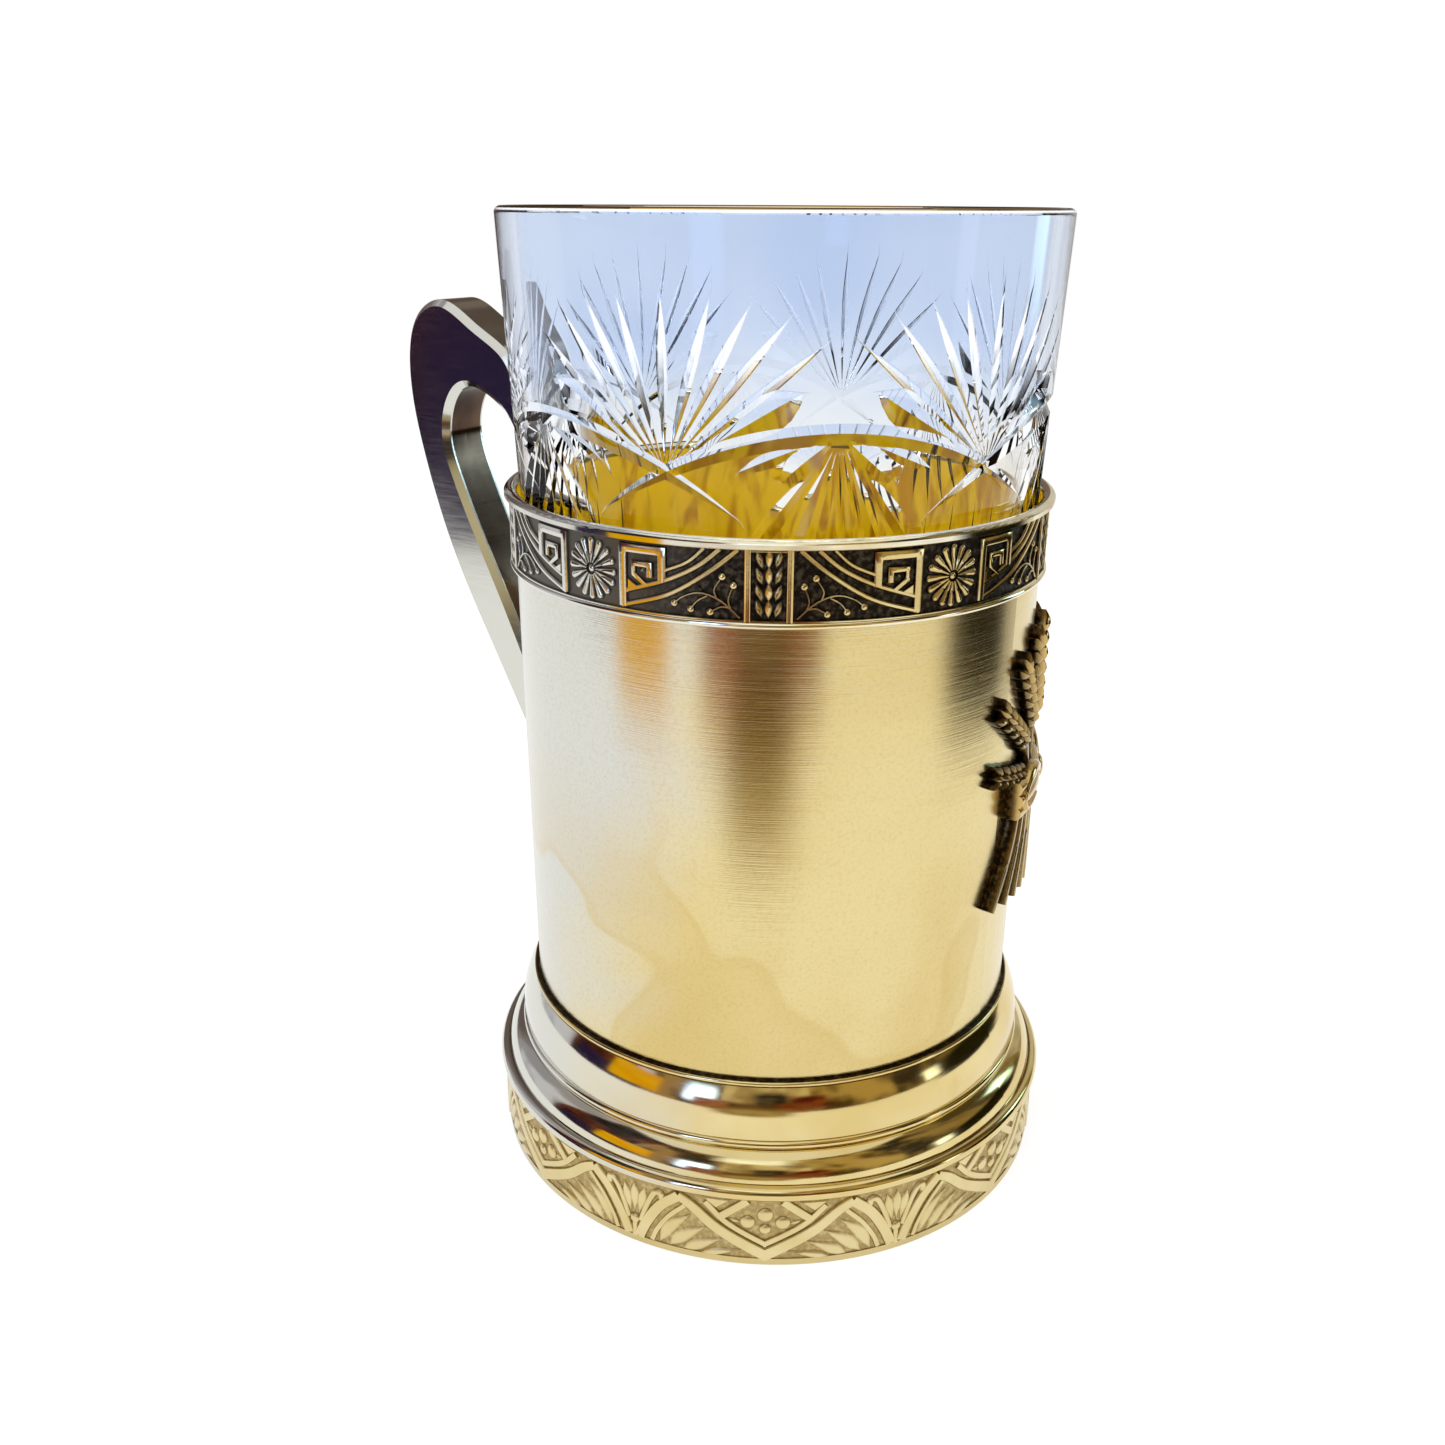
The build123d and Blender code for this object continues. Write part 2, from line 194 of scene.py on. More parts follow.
class Relief:
    """Closed shells raised on a cylinder: x runs round it, y up it and h out of its ground."""

    def __init__(self, radius, foot, tall=1.0, sink=0.12):
        self.radius = radius
        self.foot = foot
        self.tall = tall
        self.sink = sink
        self.turn = 0.0
        self.side = 1
        self.points = []
        self.faces = []

    def at(self, degrees, share):
        """Place in a band, from degrees and a share of its height."""
        return Vector((self.radius * radians(degrees), share * self.tall))

    def place(self, turn, side=1):
        """Where the next shells start, and whether they are mirrored."""
        self.turn = turn
        self.side = side

    def skin(self, start, size, spans, count):
        """Faces between rows of points; the first row follows the last."""
        for i in range(spans):
            step = size if i + 1 < count else size * (1 - count)
            for j in range(size):
                near = start + i * size + j
                far = start + i * size + (j + 1) % size
                self.faces.append((near, far, far + step, near + step))

    def loft(self, rows):
        """Shell through rows of points, closed by caps."""
        start = len(self.points)
        size = len(rows[0])
        for row in rows:
            for x, y, h in row:
                angle = self.turn + self.side * x / self.radius
                self.points.append(polar(self.radius + h, angle, self.foot + y))
        self.skin(start, size, len(rows) - 1, len(rows))
        end = len(self.points)
        self.faces.append(tuple(range(start, start + size)))
        self.faces.append(tuple(range(end - 1, end - size - 1, -1)))

    def section(self, point, left, half_width, height, profile, lift):
        """One row of a shell: the raised section, then its foot in the ground."""
        row = []
        for share, rise in profile:
            spot = point + left * share * half_width
            row.append((spot.x, spot.y, lift + rise * height))
        for share in (1, -1):
            spot = point + left * share * half_width
            row.append((spot.x, spot.y, -self.sink))
        return row

    def ribbon(self, path, width, height, profile=WIRE, taper=(1, 1), lift=0.0):
        """Raised line along a path, with a share of its width at each end."""
        rows = []
        for i, (point, left) in enumerate(zip(path, sides(path))):
            share = taper[0] + (taper[1] - taper[0]) * i / (len(path) - 1)
            rows.append(self.section(point, left, width / 2 * share, height, profile, lift))
        self.loft(rows)

    def leaf(self, path, width, height, fullest=0.5, lift=0.0, steps=9, tip=0.06, low=0.25):
        """Pointed leaf or grain along a path, widest at a share of its length."""
        path = [Vector(p) for p in path]
        if len(path) == 2:
            path = [path[0].lerp(path[1], k / steps) for k in range(steps + 1)]
        power = log(0.5) / log(fullest)
        rows = []
        for i, (point, left) in enumerate(zip(path, sides(path))):
            swell = max(tip, sin(pi * (i / (len(path) - 1)) ** power))
            rise = height * (low + (1 - low) * swell)
            rows.append(self.section(point, left, width / 2 * swell, rise, RIDGE, lift))
        self.loft(rows)

    def dome(self, centre, radius, height, lift=0.0, around=14, steps=5):
        """Round berry."""
        rises = [k * pi / 2 / steps for k in range(steps)]
        levels = [-self.sink] + [lift + height * sin(rise) for rise in rises]
        spans = [radius] + [radius * cos(rise) for rise in rises]
        rows = []
        for level, span in zip(levels, spans):
            row = []
            for k in range(around):
                angle = 2 * pi * k / around
                row.append((centre[0] + span * cos(angle), centre[1] + span * sin(angle), level))
            rows.append(row)
        self.loft(rows)

    def plate(self, outline, height, bevel, edge=0.4, mitre=0.3):
        """Flat raised plate with bevelled edges; the outline runs anticlockwise."""
        outline = [Vector(p) for p in outline]
        inner = []
        for i, point in enumerate(outline):
            ways = (across(point - outline[i - 1]), across(outline[(i + 1) % len(outline)] - point))
            way = (ways[0] + ways[1]).normalized()
            inner.append(point + way * bevel / max(mitre, way.dot(ways[0])))
        rows = [[(p.x, p.y, h) for p in outline] for h in (-self.sink, height * edge)]
        rows.append([(p.x, p.y, height) for p in inner])
        self.loft(rows)

    def ground(self, profile, count=240):
        """Ring turned from a closed profile of radius and height above the foot."""
        start = len(self.points)
        size = len(profile)
        for k in range(count):
            for radius, y in profile:
                self.points.append(polar(radius, 2 * pi * k / count, self.foot + y))
        self.skin(start, size, count, count)


# Ornament bands: places in them are degrees round the axis and shares of the band's height
BAND_CREASE = radians(40)


def build_band(name, band, repeats, turn, material, half, middle):
    """Band of equal repeats, each of two mirrored halves and a middle."""
    for repeat in range(repeats):
        start = turn + 2 * pi * repeat / repeats
        for side in (1, -1):
            band.place(start, side)
            half(band)
        band.place(start)
        middle(band)
    return mesh_object(name, band.points, band.faces, material, BAND_CREASE)


# Frieze under the rim
FRIEZE_REPEATS = 5
FRIEZE_TURN = FRONT + radians(-1.3)
FRIEZE_RELIEF = 0.36
FRIEZE_DEPTH = 0.15
FRIEZE_BORDER = 0.3
FRIEZE_SETBACK = 0.06
FRIEZE_LINE = 0.74
FRIEZE_FRAME = 1.1
FRIEZE_BAR = 0.8
FRIEZE_TOP_LINE = 0.3
FRIEZE_STEM = 0.36
FRIEZE_BERRY = 0.48
GRAIN_FEET = [0.02 + 0.225 * row for row in range(4)]
GRAIN_WIDTH = 1.15
GRAIN_LENGTH = 0.34
GRAIN_SIDE_LENGTH = 0.33
ROSETTE_PETALS = 16
ROSETTE_RADIUS = 3.7
ROSETTE_HEIGHT = 0.49
ROSETTE_BUTTON = 0.5
PETAL_WIDTH = 1.02
PETAL_ROOT = 0.7
# Sweeps from the panel to the square: share of the line's width, and points
FRIEZE_SWEEPS = (
    (1, ((5.6, 0.97), (11.2, 0.64), (19, 0.29), (28.6, 0.06))),
    (1, ((8.9, 0.97), (13.3, 0.71), (19.2, 0.49), (27.6, 0.28))),
    (0.85, ((11.8, 0.97), (15.1, 0.76), (19.4, 0.62))),
)
# Stems of the sprig, each with a berry at its end
FRIEZE_STEMS = (
    ((5.2, 0.05), (7.9, 0.23), (10.6, 0.335), (13.2, 0.36), (15.9, 0.29), (17.6, 0.19)),
    ((6.9, 0.17), (7.3, 0.3), (6.4, 0.49)),
    ((9.6, 0.31), (9.9, 0.43), (8.5, 0.6)),
    ((7.1, 0.18), (8.7, 0.19), (10.7, 0.11)),
    ((11.2, 0.33), (13.1, 0.25), (14.4, 0.13)),
)


def frieze_half(band):
    """Ornament from the middle of a grain panel to the middle of a rosette."""
    at = band.at
    high = FRIEZE_RELIEF
    # Panel with ears of grain between two bars
    band.ribbon(segments((at(3.85, 0), at(3.85, 1)), 2), FRIEZE_BAR, high, BAR)
    band.ribbon(segments((at(0, 0.955), at(3.75, 0.955)), 0.6), FRIEZE_TOP_LINE, high * 0.8)
    for foot in GRAIN_FEET:
        band.leaf((at(1.0, foot), at(2.5, foot + GRAIN_SIDE_LENGTH)), GRAIN_WIDTH, high * 0.85)
    for share, points in FRIEZE_SWEEPS:
        band.ribbon(spline([at(*p) for p in points]), FRIEZE_LINE * share, high)
    # Nested squares
    outer = (at(20.0, 0.46), at(20.0, 0.87), at(28.3, 0.87), at(28.3, 0.06))
    band.ribbon(segments(outer, 0.8), FRIEZE_FRAME, high, BAR)
    hook = (at(22.5, 0.5), at(22.5, 0.67), at(25.9, 0.67), at(25.9, 0.52), at(23.2, 0.38))
    band.ribbon(segments(hook, 0.8), FRIEZE_FRAME * 0.75, high, BAR, taper=(1, 0.6))
    band.leaf((at(23.4, 0.63), at(24.9, 0.54)), 0.9, high * 0.6)
    band.plate((at(24.6, 0.35), at(27.3, 0.3), at(27.3, 0.46)), high * 0.9, 0.12)
    # Sprig with berries
    for stem in FRIEZE_STEMS:
        line = spline([at(*p) for p in stem], 5)
        band.ribbon(line, FRIEZE_STEM, high * 0.75, taper=(1.1, 0.8))
        band.dome(line[-1], FRIEZE_BERRY, high)
    band.leaf((at(11.9, 0.36), at(13.1, 0.46)), 0.4, high * 0.6)


def frieze_middle(band):
    """Middle row of grains in a panel, and the rosette beside it."""
    for foot in GRAIN_FEET:
        band.leaf((band.at(0, foot), band.at(0, foot + GRAIN_LENGTH)), GRAIN_WIDTH, FRIEZE_RELIEF)
    centre = band.at(180 / FRIEZE_REPEATS, ROSETTE_HEIGHT)
    for k in range(ROSETTE_PETALS):
        way = Vector((cos(2 * pi * k / ROSETTE_PETALS), sin(2 * pi * k / ROSETTE_PETALS)))
        tip = centre + way * (ROSETTE_RADIUS - PETAL_WIDTH / 2)
        petal = segments((centre + way * PETAL_ROOT, tip), 0.5)
        band.ribbon(petal, PETAL_WIDTH, FRIEZE_RELIEF, taper=(0.25, 1))
        band.dome(tip, PETAL_WIDTH / 2, FRIEZE_RELIEF * 0.95)
    band.dome(centre, ROSETTE_BUTTON, FRIEZE_RELIEF)


def build_frieze(material):
    """Ornament band under the rim, mirrored about its grain panels."""
    low, high = box_mm("frieze_band")
    tall = high.z - low.z
    ground = high.x - FRIEZE_RELIEF
    inner = ground - FRIEZE_DEPTH
    lower_edge = high.x - FRIEZE_SETBACK
    band = Relief(ground, low.z, tall)
    profile = (
        (inner, 0),
        (lower_edge, 0),
        (lower_edge, FRIEZE_BORDER * 0.5),
        (ground, FRIEZE_BORDER),
        (ground, tall - FRIEZE_BORDER * 1.2),
        (high.x, tall - FRIEZE_BORDER * 0.7),
        (high.x, tall),
        (inner, tall),
    )
    band.ground(profile)
    return build_band(
        "frieze_relief", band, FRIEZE_REPEATS, FRIEZE_TURN, material, frieze_half, frieze_middle
    )


# Ornament band of the foot
FOOT_REPEATS = 7
FOOT_TURN = FRONT + radians(0.2)
FOOT_RELIEF = 0.4
FOOT_DEPTH = 0.25
BERRY_HEIGHT = FOOT_RELIEF * 1.05
# Berries in the middle of a lozenge: degrees, share of the height and radius
MIDDLE_BERRIES = ((0, 0.75, 1.08), (0, 0.51, 0.8))
LILY_PETAL = 1.5
# Bars of the zigzag, its echo and the lozenge: width, share of the relief, taper and points
FOOT_BARS = (
    (1.6, 1.0, (1.15, 0.85), ((-0.5, 0.05), (8.8, 0.47), (13.6, 0.78), (16.6, 0.92))),
    (1.6, 1.0, (1, 1), ((16.4, 0.92), (20.1, 0.67), (22.9, 0.33), (24.6, 0.03))),
    (0.7, 0.7, (1, 1), ((15.2, 0.77), (18.4, 0.52), (20.8, 0.24), (21.9, 0.03))),
    (0.9, 0.72, (1, 1), ((-0.4, 0.245), (7.0, 0.58), (11.3, 0.9))),
)
# Lobes of the half leaf under the zigzag: root, middle, tip and width
FOOT_LOBES = (
    ((20.4, 0.02), (18.2, 0.34), (14.2, 0.61), 2.0),
    ((18.4, 0.01), (15.6, 0.23), (11.2, 0.45), 2.1),
    ((15.6, 0.01), (12.6, 0.13), (8.0, 0.29), 1.9),
    ((12.2, 0.0), (9.0, 0.06), (4.4, 0.13), 1.3),
)


def foot_half(band):
    """Ornament from the middle of a lozenge to the middle of a lily."""
    at = band.at
    high = FOOT_RELIEF
    for width, rise, taper, points in FOOT_BARS:
        band.ribbon(spline([at(*p) for p in points]), width, high * rise, BAR, taper=taper)
    # Roof over the lozenge and the plain corner beside it
    band.ribbon(segments((at(3.3, 0.99), at(8.2, 0.7)), 0.8), 1.2, high * 0.8, BAR)
    band.plate((at(6.3, 0.98), at(9.2, 0.81), at(11.9, 0.98)), high * 0.6, 0.15)
    # Berry and leaf beside the lozenge's middle
    band.dome(at(3.3, 0.62), 1.02, BERRY_HEIGHT)
    band.leaf((at(4.4, 0.6), at(6.9, 0.66)), 0.8, high * 0.5)
    for *points, width in FOOT_LOBES:
        path = spline([at(*p) for p in points], 5)
        band.leaf(path, width, high * 0.85, fullest=0.45)
    # Outer petals of the lily
    curl = ((24.4, 0.3), (22.9, 0.62), (21.4, 0.84), (20.2, 0.86), (19.8, 0.76))
    band.ribbon(spline([at(*p) for p in curl], 5), 1.15, high * 0.85, taper=(0.7, 1.0))
    band.leaf((at(25.0, 0.34), at(23.5, 0.88)), LILY_PETAL, high * 0.9, fullest=0.62)


def foot_middle(band):
    """Berries in the middle of a lozenge; stem, bulb and upright petal of the lily."""
    at = band.at
    for degrees, share, radius in MIDDLE_BERRIES:
        band.dome(at(degrees, share), radius, BERRY_HEIGHT)
    middle = 180 / FOOT_REPEATS
    band.ribbon(segments((at(middle, 0.0), at(middle, 0.24)), 0.5), 0.9, FOOT_RELIEF * 0.8)
    band.dome(at(middle, 0.29), 0.75, BERRY_HEIGHT)
    band.leaf((at(middle, 0.38), at(middle, 0.92)), LILY_PETAL, FOOT_RELIEF, fullest=0.6)


def build_foot_band(material):
    """Ornament band round the foot, mirrored about its lozenges."""
    low, high = box_mm("foot_band")
    tall = high.z - low.z
    ground = high.x - FOOT_RELIEF
    inner = ground - FOOT_DEPTH
    band = Relief(ground, low.z, tall)
    band.ground(((inner, 0), (ground, 0), (ground, tall), (inner, tall)))
    return build_band("foot_relief", band, FOOT_REPEATS, FOOT_TURN, material, foot_half, foot_middle)


# Wheat sheaf on the sleeve
SHEAF_TURN = radians(25)
SHEAF_FOOT = 41.3
SHEAF_TIE = 14.2
SHEAF_SETBACK = 0.35
SHEAF_CREASE = radians(45)
# Rows of ears: lean in degrees, and shares of the fan's radius and of the length
EAR_ROWS = ((0, 1, 1), (17, 1.03, 0.97), (34, 1.09, 0.94), (53, 1.16, 0.93), (75, 0.97, 0.82))
EAR_FAN = 14.9
EAR_LENGTH = 13.6
EAR_LIFT = 0.75
EAR_LIFT_STEP = 0.12
EAR_PITCH = 2.3
EAR_PAIRS = 5
EAR_GRAIN = 0.25
STALKS = 11
STALK_SPREAD = 34.0
STALK_WAIST = 20.0
STALK_BOW = 1.2
STALK_LIFT = 0.5
# Turns of the tie, as height above its middle and lift, and half of its bow
TIE_TURNS = ((-1.7, 1.75), (0.0, 1.95), (1.7, 1.75))
TIE_REACH = 13.0
TIE_BOW = ((1.2, 0), (6.5, 2.8), (11.2, 1.2), (11.0, -1.4), (6.0, -1.3))


def wheat_ear(sheaf, foot, way, length, lift):
    """Ear of wheat: a spine with grains along both sides and on top."""
    side = across(way)
    pairs = max(EAR_PAIRS, round(length / EAR_PITCH))
    sheaf.leaf((foot, foot + way * length * 0.96), 2.6, 0.5, lift=lift)
    for k in range(pairs):
        root = foot + way * (length * 0.92 * k / pairs)
        size = length * EAR_GRAIN
        for turn in (-1, 1):
            tip = root + (way * 0.86 + side * 0.5 * turn) * size
            sheaf.leaf((root + side * 0.25 * turn, tip), 1.55, 0.8, lift=lift, steps=6)
        sheaf.leaf((root, root + way * size), 1.25, 1.05, lift=lift + 0.1, steps=6)


def build_sheaf(material):
    """Sheaf: stalks through a tie, with ears fanned out above it."""
    radius = box_mm("body_sleeve")[1].x - SHEAF_SETBACK
    sheaf = Relief(radius, SHEAF_FOOT, sink=0.05)
    sheaf.place(SHEAF_TURN)
    tie = Vector((0, SHEAF_TIE))
    for k in range(STALKS):
        share = 2 * k / (STALKS - 1) - 1
        foot = Vector((share * STALK_SPREAD / 2, -STALK_BOW + STALK_BOW * abs(share)))
        waist = Vector((share * STALK_WAIST / 2, SHEAF_TIE))
        bend = foot.lerp(waist, 0.55) + Vector((-share, 0))
        lift = STALK_LIFT + STALK_LIFT * (1 - abs(share))
        sheaf.ribbon(spline((foot, bend, waist), 5), 1.9, 1.0, taper=(1, 0.8), lift=lift)
    for row, (lean, fan, length) in enumerate(EAR_ROWS):
        for side in (1,) if lean == 0 else (1, -1):
            way = Vector((sin(radians(lean)) * side, cos(radians(lean))))
            long = EAR_LENGTH * length
            foot = tie + way * (EAR_FAN * fan - long / 2)
            root = tie + Vector((side * row * 2.0, 0))
            stem = spline((root, root.lerp(foot, 0.5) + Vector((0, 0.4)), foot))
            sheaf.ribbon(stem, 1.5, 1.0, lift=0.4)
            lift = EAR_LIFT + EAR_LIFT_STEP * (len(EAR_ROWS) - 1 - row)
            wheat_ear(sheaf, foot, way, long, lift)
    for level, lift in TIE_TURNS:
        height = SHEAF_TIE + level
        band = spline(((-TIE_REACH, height), (0, height - 0.5), (TIE_REACH, height)), 10)
        sheaf.ribbon(band, 1.9, 0.65, taper=(0.9, 0.9), lift=lift)
    for side in (1, -1):
        bow = spline([tie + Vector((side * x, y)) for x, y in TIE_BOW], 6)
        sheaf.ribbon(bow, 1.7, 0.6, taper=(0.7, 0.6), lift=2.1)
    sheaf.dome(tie, 1.7, 0.75, lift=2.3)
    return mesh_object("wheat_sheaf", sheaf.points, sheaf.faces, material, SHEAF_CREASE)


# Tumbler: its cone, rim, inside, base and heel
GLASS_RIM_RADIUS = 35.0
GLASS_BASE_RADIUS = 30.0
GLASS_WALL = 2.4
GLASS_FLOOR = 8.0
GLASS_CREASE = radians(11)
RIM_START = 0.95
RIM_ROUND = 0.9
RIM_STEPS = 6
INSIDE_LEVELS = (110, 90, 70, 50)
FLOOR_ROUND = 2.0
FLOOR_RADII = (18, 8, 0)
# Hollow under the base, as radius and rise
PUNT = ((0, 1.0), (11.0, 0.75), (22.0, 0.0))
HEEL = 1.5
HEEL_LEAN = 0.05
# A point this near the cone counts as uncut
UNCUT = 0.004

# Its cuts: six fans between six arches, with flutes below
CUT_REPEATS = 6
CUT_TURN = radians(41)
CUT_SWAY = radians(4.5)
CUT_SWAY_TURN = radians(11)
CUT_BOTTOM = 30.0
CUT_TOP = 120.6
CUT_STEP = 1.25
CUT_ROWS = 30
CUT_MERGE = 1e-4
CUT_HALF = 180 / CUT_REPEATS
CUT_THINNEST = 0.04
# Ends of the cuts, as degrees and height
FAN_HEIGHT = 99.7
FAN_RAYS = ((0, 119.0), (8.8, 118.8), (15.5, 118.0), (21.8, 116.5), (27.5, 113.7))
FAN_LEAF = (24, 108.6)
ARCH_HEIGHT = 104.2
ARCH_DROP = 0.005
ARCH_REACH = 43.0
ARCH_STEPS = 40
ARCH_WIDTH = 1.15
ARCH_LEAF = (9.6, 99.1)
ARCH_BLADE = ((7, 102.7), (17, 100.1))
DROP_RAYS = ((30, 86.0), (24.5, 86.4), (19, 87.6), (13, 89.6))
FLUTE_FOOT = 33
FLUTES = ((0, 90), (10, 88), (20, 87), (30, 85))
# Kinds of cut: half width, share of the length where it is widest, and slope of the sides
FAN_CUT = (0.62, 0.55, 0.62)
FAN_LEAF_CUT = (2.1, 0.72, 0.4)
ARCH_LEAF_CUT = (1.6, 0.66, 0.5)
ARCH_BLADE_CUT = (0.85, 0.5, 0.55)
DROP_CUT = (1.05, 0.62, 0.45)
FLUTE_CUT = (2.0, 0.5, 0.3)


class Cut:
    """V-shaped cut along a line, with a half width at each of its points."""

    def __init__(self, line, widths, slope):
        self.line = line
        self.widths = widths
        self.slope = slope

    def depth(self, point):
        """Depth of the cut at a point of the surface."""
        deepest = 0.0
        for i in range(len(self.line) - 1):
            start = self.line[i]
            run = self.line[i + 1] - start
            share = min(1.0, max(0.0, (point - start).dot(run) / run.length_squared))
            width = self.widths[i] + (self.widths[i + 1] - self.widths[i]) * share
            deepest = max(deepest, self.slope * (width - (point - start - run * share).length))
        return deepest

    def outline(self):
        """Edge of the cut, as a closed loop."""
        ways = sides(self.line)
        left = [p + way * w for p, way, w in zip(self.line, ways, self.widths)]
        right = [p - way * w for p, way, w in zip(self.line, ways, self.widths)]
        return left + right[::-1]


def leaf_cut(start, end, width, fullest, slope, steps=12):
    """Straight cut between two points, widest at a share of its length."""
    power = log(0.5) / log(fullest)
    shares = [k / steps for k in range(steps + 1)]
    line = [start.lerp(end, share) for share in shares]
    widths = [max(CUT_THINNEST, width * sin(pi * share**power)) for share in shares]
    return Cut(line, widths, slope)


def tumbler_cuts(at):
    """Cuts of half a repeat, from the middle of a fan to the top of an arch."""
    fan = at(0, FAN_HEIGHT)
    top = at(CUT_HALF, ARCH_HEIGHT)
    cuts = []
    for degrees, tip in FAN_RAYS:
        for side in (1, -1):
            end = at(side * degrees, tip)
            cuts.append(leaf_cut(fan.lerp(end, 0.06), end, *FAN_CUT))
    for side in (1, -1):
        end = at(side * FAN_LEAF[0], FAN_LEAF[1])
        cuts.append(leaf_cut(fan.lerp(end, 0.05), end, *FAN_LEAF_CUT))
    # Arches over this half and the next ones
    shares = [k / ARCH_STEPS - 1 for k in range(2 * ARCH_STEPS + 1)]
    widths = [max(CUT_THINNEST, ARCH_WIDTH * (1 - abs(s) ** 3)) for s in shares]
    reaches = [ARCH_REACH * s for s in shares]
    for middle in (-CUT_HALF, CUT_HALF):
        line = [at(middle + reach, ARCH_HEIGHT - ARCH_DROP * reach**2) for reach in reaches]
        cuts.append(Cut(line, widths, 0.55))
    # Leaves, blades and drops that hang from the top of an arch
    for side in (1, -1):
        end = at(CUT_HALF + side * ARCH_LEAF[0], ARCH_LEAF[1])
        cuts.append(leaf_cut(top, end, *ARCH_LEAF_CUT))
        start, end = [at(CUT_HALF + side * degrees, z) for degrees, z in ARCH_BLADE]
        cuts.append(leaf_cut(start, end, *ARCH_BLADE_CUT))
    for degrees, tip in DROP_RAYS:
        for end in (at(degrees, tip), at(2 * CUT_HALF - degrees, tip)):
            cuts.append(leaf_cut(top.lerp(end, 0.12), end, *DROP_CUT))
    # Flutes down to the base
    for degrees, high in FLUTES:
        cuts.append(leaf_cut(at(degrees, FLUTE_FOOT), at(degrees, high), *FLUTE_CUT))
    return cuts


def carve_half(at, cuts):
    """Triangles of half a repeat: points as degrees, height and depth."""
    per_degree = at(1, 0).x
    coords = []
    edges = []

    def chain(points, closed):
        first = len(coords)
        coords.extend(points)
        edges.extend((first + k, first + k + 1) for k in range(len(points) - 1))
        if closed:
            edges.append((len(coords) - 1, first))

    columns = round(CUT_HALF / CUT_STEP)
    levels = [CUT_BOTTOM + (CUT_TOP - CUT_BOTTOM) * k / CUT_ROWS for k in range(CUT_ROWS + 1)]
    below = [at(CUT_STEP * k, CUT_BOTTOM) for k in range(columns)]
    right = [at(CUT_HALF, z) for z in levels[:-1]]
    above = [at(CUT_HALF - CUT_STEP * k, CUT_TOP) for k in range(columns)]
    left = [at(0, z) for z in levels[:0:-1]]
    chain(below + right + above + left, True)
    for cut in cuts:
        chain(cut.outline(), True)
        chain(cut.line, False)
    grid = [at(CUT_STEP * c, z) for c in range(1, columns) for z in levels[1:-1]]
    coords.extend(p for p in grid if not any(cut.depth(p) for cut in cuts))
    points, _, triangles, _, _, _ = delaunay_2d_cdt(coords, edges, [], 0, CUT_MERGE)
    result = []
    for point in points:
        depth = max(cut.depth(point) for cut in cuts)
        result.append((point.x / per_degree, point.y, depth))
    kept = []
    for triangle in triangles:
        middle = sum(result[i][0] for i in triangle) / 3
        level = sum(result[i][1] for i in triangle) / 3
        if 0 < middle < CUT_HALF and CUT_BOTTOM < level < CUT_TOP:
            kept.append(triangle)
    return result, kept


def quarter(steps, first=0):
    """Cosines and sines of angles from 0 to a right angle."""
    angles = [pi / 2 * k / steps for k in range(first, steps + 1)]
    return [(cos(angle), sin(angle)) for angle in angles]


def turned_profile(outer, slope, low, high):
    """Turned part of the wall, as radius and height: rim, inside and base."""
    profile = [(outer(CUT_TOP), CUT_TOP), (outer(high - RIM_START), high - RIM_START)]
    for c, s in quarter(RIM_STEPS, 1)[:-1]:
        profile.append((outer(high) - RIM_ROUND * (1 - c), high - RIM_ROUND * (1 - s)))
    inside = GLASS_RIM_RADIUS - GLASS_WALL
    for c, s in quarter(RIM_STEPS)[::-1]:
        profile.append((inside + RIM_ROUND * (1 - c), high - RIM_ROUND * (1 - s)))
    floor = low + GLASS_FLOOR
    levels = INSIDE_LEVELS + (floor + FLOOR_ROUND,)
    profile += [(inside + slope * (z - high), z) for z in levels]
    for c, s in quarter(steps=4, first=1):
        radius = outer(floor) - GLASS_WALL - FLOOR_ROUND * (1 - c)
        profile.append((radius, floor + FLOOR_ROUND * (1 - s)))
    profile += [(radius, floor) for radius in FLOOR_RADII]
    profile += [(radius, low + rise) for radius, rise in PUNT]
    for c, s in quarter(steps=5):
        profile.append((outer(low) - HEEL + HEEL * s + HEEL_LEAN, low + HEEL * (1 - c)))
    profile.append((outer(CUT_BOTTOM), CUT_BOTTOM))
    return profile


def turned_faces(profile, turns, start):
    """Faces of a turned profile; on the axis the far corners are left out."""
    size = len(profile)
    faces = []
    for k in range(turns):
        near = start + k * size
        far = start + (k + 1) % turns * size
        for j in range(size - 1):
            ring = [near + j, near + j + 1]
            ring += [far + i for i in (j + 1, j) if profile[i][0] > 0]
            if len(ring) > 2:
                faces.append(tuple(ring))
    return faces


def cone_normals(mesh, outer, slope):
    """Where the wall is uncut, give it the normals of the smooth cone."""
    normals = [Vector()] * len(mesh.loops)
    for face in mesh.polygons:
        spots = [mesh.vertices[i].co / MM for i in face.vertices]
        if all(abs(p.xy.length - outer(p.z)) < UNCUT and p.z > CUT_BOTTOM - 1 for p in spots):
            for loop, spot in zip(face.loop_indices, spots):
                normals[loop] = Vector((spot.x, spot.y, -slope * spot.xy.length)).normalized()
    mesh.normals_split_custom_set(normals)


